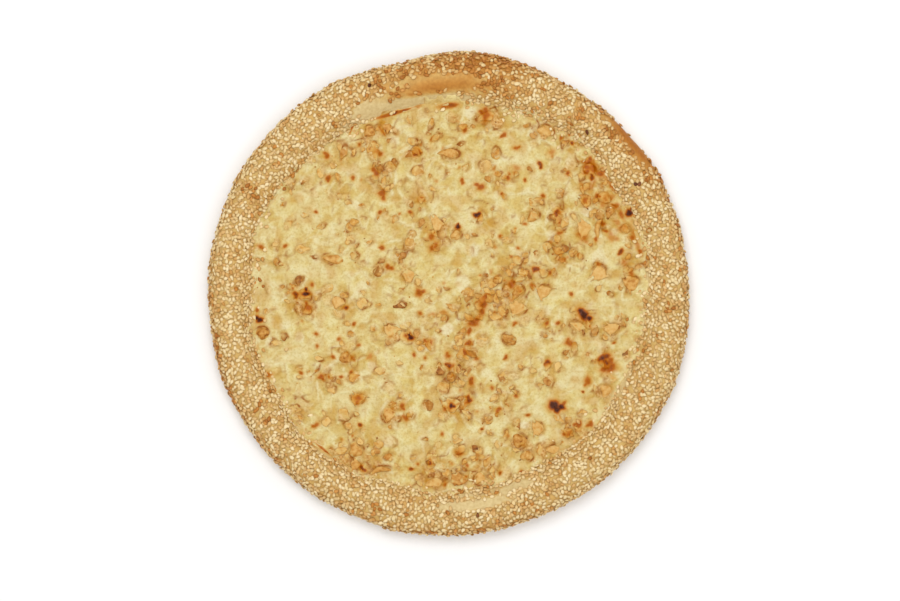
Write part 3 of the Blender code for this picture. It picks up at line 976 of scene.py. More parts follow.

# %% [markdown]
# The larger hazelnut pieces press into the cheese, which stands up against their sides in a thin amber
# line, darker on one side as painted shade. Then comes what the oven did: orange blisters, rusty crumbs
# and dark scorched spots, each where it is on the real pizza, and fine rusty specks among the nuts. A few
# soft amber spots and streaks near the rim are painted shade in its crevices, not browning.

# %% Round the large nuts, and the browned spots
for form, x, y, length, width, turn in HAZELNUTS:
    x, y, length, width, turn = x * MM, y * MM, length * MM, width * MM, math.radians(turn)
    part, away_x, away_y = near(x, y, length)
    distance = np.hypot(*turned_shares(away_x, away_y, length, width, turn))
    relief[part] *= 0.15 + 0.85 * smooth_step(0.7, 1.05, distance)
    side = smooth_step(-0.5, 0.9, np.cos(np.arctan2(away_y, away_x) - 1.7 * turn - x / (9 * MM)))
    relief[part] += 0.7 * MM * np.exp(-(((distance - 1.1) / 0.2) ** 2)) * (0.4 + 0.6 * side)
    # Amber oil round the piece, darker on one side as painted shade beside it
    amber_line_and_shade = 0.95 * np.exp(-(((distance - 1.05) / 0.12) ** 2)) * side * lines[part]
    amber[part] = np.maximum(amber[part], amber_line_and_shade)
    gold[part] = np.maximum(gold[part], 0.7 * np.exp(-((np.maximum(distance - 1, 0) / 0.45) ** 2)) * side)

# Pixel of the photograph, size there, and what it is
BROWNED = (
    (416, 153, 7, "black"), (432, 139, 5, "rust"), (376, 173, 8, "rust"), (353, 178, 5, "rust"),
    (328, 178, 7, "rust"), (380, 154, 8, "orange"), (394, 166, 4, "rust"), (382, 193, 9, "rust"),
    (421, 199, 6, "rust"), (380, 212, 5, "rust"), (410, 212, 5, "rust"), (316, 212, 5, "rust"),
    (327, 156, 6, "rust"), (486, 116, 12, "rust"), (504, 135, 6, "rust"), (465, 130, 6, "rust"),
    (516, 148, 6, "orange"), (540, 164, 6, "dark"), (498, 174, 5, "dark"), (508, 178, 5, "rust"),
    (525, 180, 5, "rust"), (462, 180, 6, "rust"), (481, 187, 8, "rust"), (502, 194, 5, "rust"),
    (543, 196, 5, "rust"), (593, 168, 14, "rust"), (592, 178, 6, "dark"), (612, 186, 8, "orange"),
    (616, 206, 7, "orange"), (629, 213, 9, "black"), (557, 212, 7, "dark"), (559, 220, 6, "rust"),
    (559, 233, 6, "orange"), (476, 215, 7, "black"), (561, 138, 4, "rust"), (572, 143, 4, "dark"),
    (568, 173, 5, "rust"), (261, 247, 7, "orange"), (285, 246, 5, "rust"), (260, 320, 8, "black"),
    (257, 310, 5, "rust"), (296, 294, 6, "dark"), (306, 294, 8, "black"), (308, 308, 8, "rust"),
    (312, 285, 5, "rust"), (346, 308, 5, "dark"), (431, 237, 8, "orange"), (433, 248, 9, "orange"),
    (382, 248, 6, "rust"), (388, 267, 7, "rust"), (419, 293, 9, "rust"), (458, 227, 6, "black"),
    (433, 314, 7, "amber"), (444, 312, 7, "amber"), (420, 313, 5, "rust"), (411, 338, 7, "black"),
    (429, 343, 8, "rust"), (414, 355, 5, "rust"), (354, 324, 5, "rust"), (316, 334, 5, "orange"),
    (317, 346, 5, "orange"), (333, 357, 5, "rust"), (370, 356, 8, "amber"), (448, 356, 6, "orange"),
    (449, 366, 7, "dark"), (267, 375, 9, "orange"), (321, 377, 7, "rust"), (329, 377, 5, "orange"),
    (525, 224, 5, "orange"), (596, 239, 5, "rust"), (632, 238, 6, "orange"), (621, 251, 6, "dark"),
    (640, 251, 6, "orange"), (631, 273, 7, "orange"), (560, 253, 5, "dark"), (564, 260, 5, "orange"),
    (579, 255, 5, "rust"), (500, 236, 5, "orange"), (518, 248, 5, "orange"), (535, 269, 7, "dark"),
    (550, 273, 5, "rust"), (598, 264, 5, "rust"), (511, 285, 8, "rust"), (532, 285, 5, "orange"),
    (571, 294, 5, "rust"), (483, 304, 15, "rust"), (491, 272, 6, "amber"), (491, 282, 6, "amber"),
    (584, 315, 11, "black"), (547, 323, 5, "rust"), (558, 323, 5, "rust"), (515, 323, 6, "orange"),
    (473, 323, 17, "rust"), (469, 343, 7, "rust"), (465, 353, 7, "rust"), (569, 343, 9, "orange"),
    (614, 343, 4, "rust"), (602, 358, 11, "dark"), (611, 368, 14, "rust"), (548, 362, 6, "dark"),
    (506, 357, 6, "rust"), (301, 373, 5, "rust"), (341, 377, 5, "rust"), (351, 372, 5, "rust"),
    (358, 398, 9, "orange"), (360, 425, 5, "dark"), (316, 425, 7, "orange"), (402, 406, 6, "rust"),
    (406, 418, 7, "orange"), (362, 468, 7, "dark"), (411, 469, 5, "dark"), (430, 463, 5, "dark"),
    (451, 406, 7, "black"), (452, 377, 5, "rust"), (469, 401, 7, "dark"), (471, 382, 8, "rust"),
    (492, 388, 5, "orange"), (499, 409, 6, "rust"), (516, 396, 5, "rust"), (528, 415, 5, "rust"),
    (554, 405, 13, "black"), (564, 403, 5, "rust"), (588, 381, 9, "orange"), (583, 392, 3, "black"),
    (482, 429, 3, "black"), (579, 424, 8, "rust"), (568, 433, 8, "rust"), (591, 424, 7, "rust"),
    (477, 455, 7, "amber"), (459, 453, 8, "rust"), (500, 473, 5, "rust"), (521, 472, 5, "rust"),
    (442, 434, 5, "orange"), (600, 216, 5, "rust"), (603, 224, 6, "rust"), (606, 231, 5, "rust"),
    (520, 290, 7, "amber"), (512, 300, 7, "amber"), (588, 162, 8, "rust"), (600, 174, 8, "rust"),
    # The six large amber spots from 606, 198 to 624, 262 are painted shade in the crevices among the nuts
    # near the rim, not browning
    (597, 196, 6, "rust"), (585, 200, 6, "orange"), (606, 198, 14, "amber"), (622, 228, 13, "amber"),
    (590, 186, 12, "amber"), (612, 238, 12, "amber"), (584, 238, 11, "amber"), (624, 262, 10, "amber"),
    (517, 168, 9, "amber"), (552, 152, 8, "amber"),
)
# Of each kind: how scorched its middle and its rim are, and how high it blistered in mm
BROWNING = {
    "amber": (0.4, 0.2, 0.1),
    "orange": (0.56, 0.36, 0.5),
    "rust": (0.64, 0.38, 0.25),
    "dark": (0.84, 0.46, 0.3),
    "black": (1.1, 0.5, 0.3),
}

SPECK_TRIES = 240

own = np.random.default_rng(15)


def brown(x, y, size, kind):
    """Scorches a spot: a soft, angular one, and smaller ones beside it when it is large."""
    middle, rim, height = BROWNING[kind]
    largest = min(size, 8 * MM)
    for lobe in range(1 + int(size / (3.4 * MM))):
        way = own.uniform(0, 2 * math.pi)
        out = 0 if lobe == 0 else own.uniform(0.35, 0.6) * size
        own_size = largest * (1 if lobe == 0 else own.uniform(0.5, 0.8))
        at_x, at_y = x + out * math.cos(way), y + out * math.sin(way)
        part, away_x, away_y = near(at_x, at_y, own_size * 2 + CELL)
        distance = chip_distance(away_x, away_y, own_size * 1.25, own_size * own.uniform(0.8, 1), way, own)
        core = 1 - smooth_step(0.25, 1.1, distance)
        halo = 1 - smooth_step(0.4, 2.2, distance)
        painted = rim * halo + (middle - rim) * core
        scorch[part] = np.maximum(scorch[part], painted)
        relief[part] += height * MM * core * 0.6


for x, y, size, kind in BROWNED:
    x, y = from_photograph(x, y)
    brown(x, y, size * PIXEL, kind)
for _ in range(SPECK_TRIES):
    x, y, length, _, _, bare_share, _ = chips[int(own.integers(len(chips)))]
    if own.random() * 0.9 < bare_share * field_at(thick, x, y):
        at = own.normal(0, 0.45, 2) * length
        size = own.uniform(1.6, 3.6) * MM
        brown(x + at[0], y + at[1], size, ("amber", "amber", "orange")[int(own.integers(3))])

# Pixel of the photograph, length and width there, turn in degrees, and how scorched
STREAKS = (
    (448, 106, 28, 8, 7, 0.72),
    (416, 107, 20, 7, 22, 0.42),
    # Painted shade: a dark crevice along the top of the cheese by the rim, not a streak of browning
    (392, 114, 50, 5, 16, 0.9),
    (323, 449, 30, 4, -42, 0.7),
    (352, 128, 20, 3, 68, 0.7),
    (382, 131, 16, 3, -55, 0.8),
    # Painted shade: the next three are brown shade in the step from the rim down to the cheese, not
    # browning
    (610, 182, 48, 10, -58, 0.42),
    (636, 238, 52, 10, -74, 0.42),
    (621, 214, 26, 7, -64, 0.5),
)
for x, y, length, width, turn, level in STREAKS:
    x, y = from_photograph(x, y)
    length, width, turn = length * PIXEL, width * PIXEL, math.radians(turn)
    part, away_x, away_y = near(x, y, length)
    distance = np.hypot(*turned_shares(away_x, away_y, length, width, turn))
    streak = 1 - smooth_step(0.3, 1.3, distance)
    scorch[part] = np.maximum(scorch[part], level * streak * np.clip(lines[part], 0.7, 1))
print("browned spots:", len(BROWNED), "and fine specks among the chips")

# %% [markdown]
# Now the sheet itself. A square grid of faces is added and pressed into a round one, so its faces stay
# nearly even all over, and its border is drawn out to the uneven edge of the cheese. Its rim is then
# extruded down and closed underneath, and the fields give every point its height and its colours.

# %% The sheet of cheese
SHEET_STEPS = 304

bpy.ops.object.select_all(action="DESELECT")
bpy.ops.mesh.primitive_grid_add(x_subdivisions=SHEET_STEPS, y_subdivisions=SHEET_STEPS, size=2)
cheese = bpy.context.object
square = points_of(cheese.data)
u, v = square[:, 0], square[:, 1]
round_x, round_y = u * np.sqrt(1 - v * v / 2), v * np.sqrt(1 - u * u / 2)
share = np.hypot(round_x, round_y)
way = np.degrees(np.arctan2(round_y, round_x))
edge = np.array([cheese_edge(at) for at in way]) + 6 * MM
sheet = np.column_stack((round_x * edge, round_y * edge, np.full(len(u), CHEESE_LEVEL)))
set_points(cheese.data, sheet)
bpy.ops.object.mode_set(mode="EDIT")
bpy.ops.mesh.select_all(action="SELECT")
bpy.ops.mesh.region_to_loop()
drop = BASE_THICKNESS + 0.3 * MM - CHEESE_LEVEL
bpy.ops.mesh.extrude_region_move(TRANSFORM_OT_translate={"value": (0, 0, drop)})
bpy.ops.mesh.extrude_region_move(TRANSFORM_OT_translate={"value": (0, 0, 0)})
bpy.ops.mesh.merge(type="CENTER")
bpy.ops.object.mode_set(mode="OBJECT")
settle(cheese, "cheese_sheet")
print("sheet:", triangles(cheese), "triangles")


# %% Its relief and its colours
RELIEF_STARTS = 0.35 * MM  # so far below cheese_top, which then runs through the middle of the relief


def read_field(field, x, y):
    """A field's value between its cells."""
    row, column = x / CELL + GRID / 2, y / CELL + GRID / 2
    low_row, low_column = np.floor(row).astype(int), np.floor(column).astype(int)
    down, right = row - low_row, column - low_column
    top = field[low_row, low_column] * (1 - right) + field[low_row, low_column + 1] * right
    bottom = field[low_row + 1, low_column] * (1 - right) + field[low_row + 1, low_column + 1] * right
    return top * (1 - down) + bottom * down


def cheese_heights(spots):
    """Height of the finished cheese at each of many places."""
    level = np.array([cheese_top(*at) for at in spots[:, :2]])
    return level - RELIEF_STARTS + read_field(relief, spots[:, 0], spots[:, 1])


def dough_height(x, y):
    """Height of the rim's inner slope at a place beyond the cheese's edge."""
    at = math.degrees(math.atan2(y, x))
    inner, outer = cheese_edge(at), outer_radius(at)
    share = min(max((math.hypot(x, y) - inner) / (outer - inner), 0), 0.5)
    over = math.degrees(math.acos(1 - 2 * share))
    height = rim_section(over)[1]
    taller = (RIM_HEIGHT + lobed(at, RIM_HEIGHT_LOBES) - CHEESE_LEVEL) / (RIM_HEIGHT - CHEESE_LEVEL)
    return CHEESE_LEVEL + (height - CHEESE_LEVEL) * taller


points = points_of(cheese.data)
on_top = points[:, 2] > CHEESE_LEVEL - 1 * MM
x, y = points[:, 0], points[:, 1]
rises = read_field(relief, x, y)
creep = soft_noise(9 * MM, 31) * 0.6 + soft_noise(3 * MM, 32) * 0.4
beyond = np.hypot(x, y) - np.array([cheese_edge(at) for at in np.degrees(np.arctan2(y, x))])
slope = np.array([dough_height(*at) if out > 0 else 0 for at, out in zip(points[:, :2], beyond)])
film = (read_field(creep, x, y) - 0.5) * 9 * MM - np.maximum(beyond, 0) * 0.6
meniscus = 1.0 * MM * np.exp(-((np.minimum(beyond, 0) / (3 * MM)) ** 2))
flat_top = cheese_heights(points) + meniscus
on_slope = np.maximum(flat_top, slope + np.clip(film, -1.5 * MM, 0.55 * MM) + 0.4 * rises)
climbing = smooth_step(-0.5 * MM, 1.5 * MM, beyond)
points[:, 2] = np.where(on_top, flat_top + (on_slope - flat_top) * climbing, points[:, 2])
last_row = on_top & (beyond > 5.7 * MM)
points[last_row, 2] = slope[last_row] - 1.5 * MM
set_points(cheese.data, points)
for name, field in (("nut", nut), ("amber", amber), ("gold", gold), ("scorch", scorch)):
    set_attribute(cheese.data, name, read_field(field, x, y))
set_attribute(cheese.data, "cream", read_field(cream, x, y) * (1 - climbing))
# The climbing share also drives painted light: the film on the rim's slope is painted paler against the
# slope's shade
set_attribute(cheese.data, "climbing", climbing)
# Painted shade: the low places between the mounds are darkened, where shade falls among them
valley_shade = (1 - smooth_step(0.1 * MM, 0.55 * MM, rises)) * (1 - climbing)
set_attribute(cheese.data, "valley_shade", valley_shade * (1 - 0.7 * read_field(plain, x, y)))
cheese.data.shade_smooth()
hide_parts("cheese")
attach(cheese, "root")
print("relief over the sheet:", round(float(rises[on_top].max() / MM), 1), "mm")

# %% [markdown]
# Melted cheese is soft, smooth and oily: pale butter yellow, with a broad, gentle gloss. It browns
# through gold, orange and rust to nearly black, so one ramp takes the scorching through those colours.
# The finest pits are about 1.6 mm across.

# %% Melted cheese
melted_cheese = new_material("melted_mozzarella")
mottle = grain_of(melted_cheese, 7 * MM, 4.0)
pits = grain_of(melted_cheese, 1.6 * MM, 3.0)


def tinted(under, name, share, hex_colour):
    """Lays a colour over another where an attribute of the sheet says so, up to a share."""
    much = maths(melted_cheese, "MULTIPLY", attribute(melted_cheese, name), share, clamped=True)
    return mix_colours(melted_cheese, much, under, linear(hex_colour))


def scorched_over(material, under, fine):
    """Browns a colour by the scorch attribute and a fine noise: gold, orange, rust, nearly black."""
    share = attribute(material, "scorch")
    wander = maths(material, "MULTIPLY_ADD", fine, 0.5, -0.22)
    browned = ramp(
        material,
        maths(material, "ADD", share, wander),
        ((0.1, "#CD9C38"), (0.36, "#C27A12"), (0.6, "#AC5A00"), (0.82, "#823C00"), (1.0, "#4C1E04")),
    )
    how = add_node(material, "ShaderNodeMapRange", {"Value": share, "From Min": 0.02, "From Max": 0.5})
    return mix_colours(material, how.outputs["Result"], under, browned)


colour = ramp(
    melted_cheese,
    mottle,
    ((0.3, "#CDAD5E"), (0.45, "#D7C076"), (0.58, "#DDCD8E"), (0.75, "#E2D6A2")),
)
colour = tinted(colour, "cream", 1.0, "#E2D6AA")
# Painted shade in the low places between the mounds
colour = tinted(colour, "valley_shade", 0.45, "#BC933C")
# Painted light: the film that climbs the rim's slope is painted paler, to make up for the shade that falls
# on the slope
colour = tinted(colour, "climbing", 0.9, "#E8D494")
# Golden browning, which also carries the painted shade beside the strands
colour = tinted(colour, "gold", 1.0, "#C0861A")
nut_tan = ramp(melted_cheese, pits, ((0.35, "#B97C34"), (0.48, "#CE9C56"), (0.65, "#DDB87C")))
nut_share = maths(melted_cheese, "MULTIPLY", attribute(melted_cheese, "nut"), 0.9)
colour = mix_colours(melted_cheese, nut_share, colour, nut_tan)
# Amber oil, which also carries painted shade along the edges of chips and nuts and in the creases
amber_share = maths(melted_cheese, "MULTIPLY", attribute(melted_cheese, "amber"), pits)
amber_share = maths(melted_cheese, "MULTIPLY", amber_share, 2.4, clamped=True)
colour = mix_colours(melted_cheese, amber_share, colour, linear("#98560C"))
# The scorch attribute also holds a few spots and streaks of painted shade in crevices by the rim
colour = scorched_over(melted_cheese, colour, pits)
shadowed = ramp(melted_cheese, pits, ((0.34, "#E6DCC2"), (0.52, "#FFFFFF")))
shader_of(
    melted_cheese,
    Base_Color=mix_colours(melted_cheese, 0.6, colour, shadowed, "MULTIPLY"),
    Roughness=0.35,
    Specular_IOR_Level=0.15,
    Normal=bump(melted_cheese, pits, 1.0, 0.5 * MM),
)
cheese.data.materials.clear()
cheese.data.materials.append(melted_cheese)
print("material:", melted_cheese.name)

# %% [markdown]
# ## The chopped hazelnuts
# A knife breaks a hazelnut into blunt chips with flat, angular faces. Four chips are modelled: a ball is
# cut by a few planes, each closed with a face, as a knife would do it. Copies of them lie wherever a chip
# stands out of the cheese, and small ones as crumbs between them.

# %% Four chips
def cut_by(planes):
    """Cuts the edited mesh by planes, given by their slope, direction and depth, and closes the cuts."""
    for slope, towards, depth in planes:
        lean, turn = math.radians(slope), math.radians(towards)
        facing = Vector((math.sin(lean) * math.cos(turn), math.sin(lean) * math.sin(turn), math.cos(lean)))
        bpy.ops.mesh.select_all(action="SELECT")
        bpy.ops.mesh.bisect(plane_co=facing * depth, plane_no=facing, use_fill=True, clear_outer=True)


CHIP_CUTS = (
    ((15, 20, 0.25), (70, 130, 0.3), (75, 250, 0.34), (60, 340, 0.36)),
    ((25, 200, 0.22), (80, 30, 0.28), (65, 160, 0.38), (85, 280, 0.3)),
    ((8, 90, 0.28), (60, 60, 0.36), (75, 190, 0.26), (70, 310, 0.38), (80, 250, 0.34)),
    ((35, 300, 0.24), (30, 120, 0.3), (85, 210, 0.32), (80, 20, 0.3)),
)
chip_patterns = []
for number, cuts in enumerate(CHIP_CUTS, 1):
    bpy.ops.object.select_all(action="DESELECT")
    bpy.ops.mesh.primitive_ico_sphere_add(subdivisions=2, radius=0.5)
    chip = bpy.context.object
    bpy.ops.object.mode_set(mode="EDIT")
    cut_by(cuts)
    bpy.ops.mesh.select_all(action="SELECT")
    bpy.ops.mesh.remove_doubles(threshold=0.02)
    bpy.ops.object.mode_set(mode="OBJECT")
    settle(chip, f"chip_pattern_{number}")
    chip_patterns.append(chip)
print("chips:", [triangles(chip) for chip in chip_patterns], "triangles")


# %% Lay the chips
STICKS_OUT_FROM = 0.44  # how bare of cheese a chip under the film must be
CRUMB_TRIES = 220


def cheese_surface(x, y):
    """Height of the finished cheese at a place."""
    return float(cheese_heights(np.array([[x, y]]))[0])


def clear_of_large(x, y, spare):
    """Whether a place is clear of the larger hazelnut pieces."""
    gaps = (math.hypot(x - row[1] * MM, y - row[2] * MM) - row[3] * MM / 2 * 0.8 for row in HAZELNUTS)
    return min(gaps) > spare


own = np.random.default_rng(40)
chip_places = {"pale": [], "toasted": []}
chip_shades = {"pale": [], "toasted": []}
for x, y, length, width, turn, bare_share, _ in chips:
    if bare_share < STICKS_OUT_FROM or not clear_of_large(x, y, length * 0.3):
        continue
    height = min(length * 0.55, 3 * MM)
    size = (length * 0.92, width * 0.92, height)
    spot = Vector((x, y, cheese_surface(x, y) + height * (0.3 * bare_share - 0.4)))
    tilt = own.normal(0, 0.16, 2)
    kind = "toasted" if own.random() < 0.1 + 0.12 * bare_share else "pale"
    chip_places[kind].append((int(own.integers(4)), stand_on(spot, (0, 0, 1), turn, tilt, size)))
    chip_shades[kind].append(float(np.clip(own.normal(0.4, 0.22), 0, 1)))
for _ in range(CRUMB_TRIES):
    x, y = chips[int(own.integers(len(chips)))][:2]
    at = own.normal(0, 3.5 * MM, 2)
    x, y = x + at[0], y + at[1]
    if math.hypot(x, y) > 124 * MM or not clear_of_large(x, y, 1 * MM):
        continue
    length = own.uniform(0.9, 2.0) * MM
    size = (length, length * own.uniform(0.5, 0.9), length * 0.6)
    spot = Vector((x, y, cheese_surface(x, y)))
    kind = "toasted" if own.random() < 0.35 else "pale"
    matrix = stand_on(spot, (0, 0, 1), own.uniform(0, 6), own.normal(0, 0.4, 2), size)
    chip_places[kind].append((int(own.integers(4)), matrix))
    chip_shades[kind].append(float(np.clip(own.normal(0.5, 0.3), 0, 1)))


def coat(piece, covered, patchy=1.0):
    """Keeps the amber at each point's foot, partly oil and partly painted shade where it meets the cheese,
    the film of cheese on it and its scorching.
    """
    spots = points_of(piece.data)
    above = (spots[:, 2] - cheese_heights(spots)) / MM
    patches = np.array([noise.noise(Vector(spot) / (2.6 * MM)) for spot in spots])
    elsewhere = np.array([noise.noise(Vector(spot) / (2.6 * MM) + Vector((9, 4, 0))) for spot in spots])
    film_there = smooth_step(-0.12, 0.3, covered + patchy * patches + 0.35 * (0.7 - above))
    scorched_there = 0.95 * read_field(scorch, spots[:, 0], spots[:, 1])
    # Painted shade: each piece is darkened near the cheese, partly browned oil and partly the shade at its
    # foot
    set_attribute(piece.data, "foot", smooth_step(0.65, 0.05, above) * smooth_step(-0.1, 0.35, elsewhere))
    set_attribute(piece.data, "film", film_there)
    set_attribute(piece.data, "scorch", scorched_there)


COVERED = {"pale": -0.1, "toasted": -0.3}  # the higher, the more of it lies under the film

chip_pieces = {}
for kind, places in chip_places.items():
    chip_pieces[kind] = joined_copies(f"chopped_hazelnut_{kind}", chip_patterns, places, chip_shades[kind])
    coat(chip_pieces[kind], COVERED[kind])
    only(chip_pieces[kind])
    bpy.ops.object.shade_smooth_by_angle(angle=math.radians(38))
    print(f"chopped_hazelnut_{kind}:", len(places), "chips,", triangles(chip_pieces[kind]), "triangles")
for chip in chip_patterns:
    bpy.data.objects.remove(chip)

# %% [markdown]
# Hazelnut flesh is cream inside and toasts to tan and light brown. It is dense and slightly oily, with a
# fine grain. The same recipe serves the chips and the larger pieces, and only the ramp of colours
# differs.

# %% Hazelnut flesh
def hazelnut_flesh(name, colours):
    """Toasted nut flesh with amber round its foot, partly oil and partly painted shade, a film of cheese
    over parts of it, and scorching.
    """
    made = new_material(name)
    grain = grain_of(made, 2.4 * MM, 5.0)
    shaded = maths(made, "MULTIPLY_ADD", grain, 1.7, attribute(made, "shade"))
    colour = ramp(made, maths(made, "SUBTRACT", shaded, 0.85), colours)
    colour = mix_colours(made, attribute(made, "film"), colour, linear("#D3B570"))
    # The foot is painted darker: browned oil, and painted shade where the piece meets the cheese
    colour = mix_colours(made, attribute(made, "foot"), colour, linear("#A2600C"))
    colour = scorched_over(made, colour, grain)
    rough = bump(made, grain, 0.5, 0.3 * MM)
    shader_of(made, Base_Color=colour, Roughness=0.45, Specular_IOR_Level=0.15, Normal=rough)
    return made


pale_flesh = hazelnut_flesh(
    "hazelnut_flesh_pale", ((0.1, "#DDB66E"), (0.45, "#D19D4C"), (0.75, "#BC7C30"), (1.0, "#9A5E1C"))
)
toasted_flesh = hazelnut_flesh(
    "hazelnut_flesh_toasted", ((0.1, "#C99650"), (0.4, "#B67A34"), (0.7, "#96581C"), (1.0, "#6C3810"))
)
large_flesh = hazelnut_flesh(
    "hazelnut_flesh_large", ((0.1, "#DBB26C"), (0.5, "#CF9C50"), (0.8, "#B87A30"), (1.0, "#885018"))
)
chip_pieces["pale"].data.materials.append(pale_flesh)
chip_pieces["toasted"].data.materials.append(toasted_flesh)
print("nut materials:", pale_flesh.name, toasted_flesh.name, large_flesh.name)

# %% [markdown]
# ## The large hazelnut pieces
# Forty five pieces are as large as a berry, and each one is its own piece. They come in four forms: half
# a nut with its round side up, half a nut with its split face up, a broken chunk, and a thin curved
# sliver. Each form is modelled once, one unit in size, and copied to its row's size, place and turn.

# %% Half a nut, its round side up, and one with its split face up
REFINED_FACE = 0.05  # in the pattern's own unit


def refine(pattern):
    """Gives a cut pattern small, even faces to be roughened, which come out the same in each run."""
    bpy.ops.object.mode_set(mode="EDIT")
    bpy.ops.mesh.select_mode(type="FACE")
    bpy.ops.mesh.select_all(action="DESELECT")
    bpy.ops.mesh.select_face_by_sides(number=4, type="GREATER")
    bpy.ops.mesh.poke()
    bpy.ops.object.mode_set(mode="OBJECT")
    set_points(pattern.data, points_of(pattern.data).round(4))
    bpy.ops.object.modifier_add(type="REMESH")
    remesh = pattern.modifiers[-1]
    remesh.mode = "VOXEL"
    remesh.voxel_size = REFINED_FACE
    bpy.ops.object.modifier_apply(modifier=remesh.name)


def unit_ball(segments, rings):
    bpy.ops.object.select_all(action="DESELECT")
    bpy.ops.mesh.primitive_uv_sphere_add(segments=segments, ring_count=rings, radius=0.5)
    bpy.ops.object.mode_set(mode="EDIT")
    return bpy.context.object


def select_cap(obj, height):
    """Selects the flat face at a height of the edited mesh."""
    bpy.ops.mesh.select_mode(type="FACE")
    bpy.ops.mesh.select_all(action="DESELECT")
    shape = bmesh.from_edit_mesh(obj.data)
    for face in shape.faces:
        face.select = abs(face.normal.z) > 0.99 and abs(face.calc_center_median().z - height) < 0.01
    bmesh.update_edit_mesh(obj.data)


dome = unit_ball(28, 18)
bpy.ops.mesh.select_all(action="SELECT")
bpy.ops.mesh.bisect(plane_co=(0, 0, -0.3), plane_no=(0, 0, 1), use_fill=True, clear_inner=True)
cut_by(((62, 20, 0.4), (74, 140, 0.38), (58, 250, 0.42), (30, 310, 0.44)))
bpy.ops.object.mode_set(mode="OBJECT")
settle(dome, "dome_pattern")
refine(dome)

split = unit_ball(28, 18)
bpy.ops.mesh.select_all(action="SELECT")
bpy.ops.mesh.bisect(plane_co=(0, 0, 0.3), plane_no=(0, 0, 1), use_fill=True, clear_outer=True)
cut_by(((80, 60, 0.42), (85, 200, 0.4), (70, 310, 0.43)))
select_cap(split, 0.3)
bpy.ops.mesh.inset(thickness=0.08, depth=0)
bpy.ops.mesh.inset(thickness=0.1, depth=-0.05)
bpy.ops.mesh.select_mode(type="VERT")
bpy.ops.object.mode_set(mode="OBJECT")
settle(split, "split_pattern")
refine(split)
print("half nuts:", triangles(dome), "and", triangles(split), "triangles")

# %% A broken chunk and a curved sliver
bpy.ops.object.select_all(action="DESELECT")
bpy.ops.mesh.primitive_ico_sphere_add(subdivisions=4, radius=0.55)
chunk = bpy.context.object
bpy.ops.object.mode_set(mode="EDIT")
cut_by(((15, 20, 0.3), (60, 130, 0.36), (70, 250, 0.34), (55, 340, 0.4)))
bpy.ops.object.mode_set(mode="OBJECT")
settle(chunk, "chunk_pattern")
refine(chunk)

crescent = unit_ball(18, 20)
bpy.ops.object.mode_set(mode="OBJECT")
crescent.rotation_euler = (0, math.radians(90), 0)
settle(crescent, "crescent_pattern")
bowed = points_of(crescent.data)
bowed[:, 1] = bowed[:, 1] * 0.7 + 0.45 * (0.5 - (2 * bowed[:, 0]) ** 2)
set_points(crescent.data, bowed)
NUT_PATTERNS = {"dome": dome, "cut": split, "chunk": chunk, "crescent": crescent}
print("chunk:", triangles(chunk), "sliver:", triangles(crescent), "triangles")

# %% [markdown]
# Each copy is roughened in its own way, because no two broken nuts are alike. Cheese melted over some of
# them, so every point keeps how much film lies on it: most near the foot, and over part of the top.

# %% Lay the large pieces
SPLIT_LEANS = math.radians(7)

own = np.random.default_rng(77)
for number, (form, x, y, length, width, turn) in enumerate(HAZELNUTS, 1):
    name = f"hazelnut_{number:02d}"
    x, y = x * MM, y * MM
    piece = bpy.data.objects.new(f"large_{name}", NUT_PATTERNS[form].data.copy())
    piece.data.name = piece.name
    bpy.context.scene.collection.objects.link(piece)
    unit = points_of(piece.data)
    if form == "cut":
        unit = np.column_stack(
            (
                unit[:, 0] * math.cos(SPLIT_LEANS) + unit[:, 2] * math.sin(SPLIT_LEANS),
                unit[:, 1],
                unit[:, 2] * math.cos(SPLIT_LEANS) - unit[:, 0] * math.sin(SPLIT_LEANS),
            )
        )
    local = unit * (length * MM, width * MM, HAZELNUT_HEIGHT)
    shift = Vector(own.uniform(-50, 50, 3))
    for i, point in enumerate(local):
        at = Vector(point) / (3.2 * MM) + shift
        outwards = Vector(point).normalized()
        local[i] += np.array(outwards) * MM * (0.3 * noise.noise(at) + 0.14 * noise.noise(at * 2.3))
        local[i][:2] *= 1 + 0.3 * noise.noise(at * 0.55)
    spin = math.radians(turn)
    placed = np.column_stack(
        (
            x + local[:, 0] * math.cos(spin) - local[:, 1] * math.sin(spin),
            y + local[:, 0] * math.sin(spin) + local[:, 1] * math.cos(spin),
            cheese_top(x, y) + HAZELNUT_STANDS - HAZELNUT_HEIGHT / 2 + local[:, 2],
        )
    )
    set_points(piece.data, placed)
    coat(piece, own.uniform(-0.4, 0.05), 0.85)
    set_attribute(piece.data, "shade", np.full(len(placed), own.uniform(0.15, 0.75)))
    piece.data.materials.clear()
    piece.data.materials.append(large_flesh)
    only(piece)
    bpy.ops.object.shade_smooth_by_angle(angle=math.radians(45))
    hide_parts(name)
    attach(piece, "root")
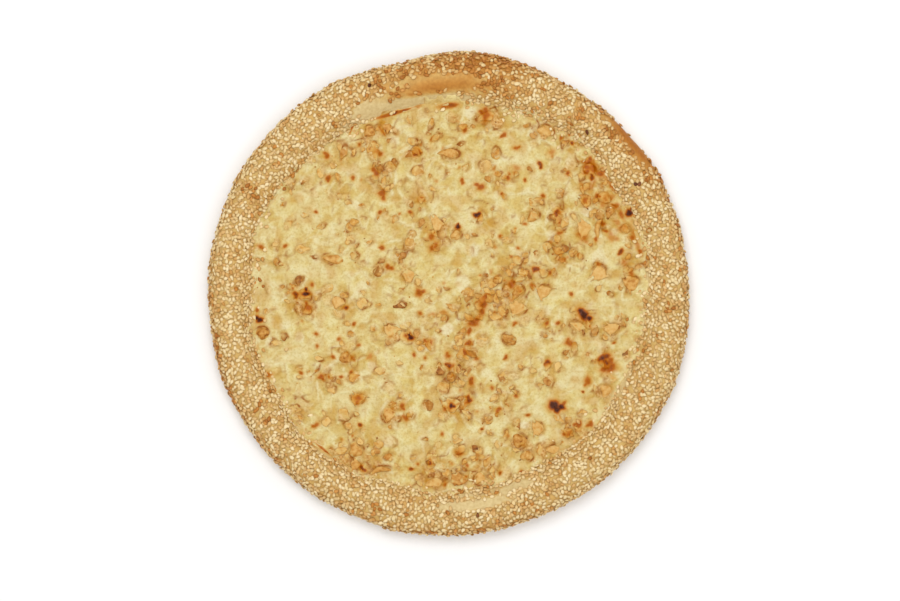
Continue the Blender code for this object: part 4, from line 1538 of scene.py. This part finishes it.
for pattern in NUT_PATTERNS.values():
    bpy.data.objects.remove(pattern)
print("large pieces laid:", len(HAZELNUTS))

# %% [markdown]
# ## The setting
# The pizza is looked at from straight above, as a product photograph is made: a white floor, a large soft
# light from above its top edge and slightly left, so that seeds and nuts cast short shadows, a broader
# and weaker one from the other side, and light from all round.

# %% Floor
bpy.ops.object.select_all(action="DESELECT")
bpy.ops.mesh.primitive_circle_add(vertices=96, radius=1.6, fill_type="NGON")
floor = settle(bpy.context.object, "floor")
white_board = new_material("white_painted_board")
shader_of(white_board, Base_Color=linear("#FAFAFA"), Roughness=0.8)
floor.data.materials.append(white_board)
print("floor:", [round(size, 2) for size in floor.dimensions[:2]], "m")

# %% Lights
world = bpy.context.scene.world or bpy.data.worlds.new("studio")
bpy.context.scene.world = world
world.use_nodes = True
background = world.node_tree.nodes.get("Background") or world.node_tree.nodes.new("ShaderNodeBackground")
background.inputs["Color"].default_value = linear("#FFFFFF")
background.inputs["Strength"].default_value = 0.66


def soft_light(name, place, size, power):
    """A square light that faces the middle of the pizza."""
    bpy.ops.object.light_add(type="AREA", location=place)
    light = bpy.context.object
    light.name = light.data.name = name
    light.data.size = size
    light.data.energy = power
    light.rotation_euler = (-Vector(place)).to_track_quat("-Z", "Y").to_euler()
    return light


soft_light("key_light", (-0.12, 0.45, 1.35), 0.65, 7.25)
soft_light("fill_light", (0.25, -0.4, 1.4), 1.2, 4.65)

# %% Camera
CAMERA_HEIGHT = 1.9
VIEW_WIDTH = 0.595  # what the picture's width covers at the height of the cheese
SENSOR_WIDTH = 36

bpy.ops.object.camera_add(location=(1.3 * MM, -4.3 * MM, CAMERA_HEIGHT))
camera = bpy.context.object
camera.name = camera.data.name = "camera"
camera.data.sensor_width = SENSOR_WIDTH
camera.data.lens = SENSOR_WIDTH * (CAMERA_HEIGHT - CHEESE_LEVEL) / VIEW_WIDTH
bpy.context.scene.camera = camera
bpy.context.scene.view_settings.view_transform = "Standard"
print("lens:", round(camera.data.lens), "mm")
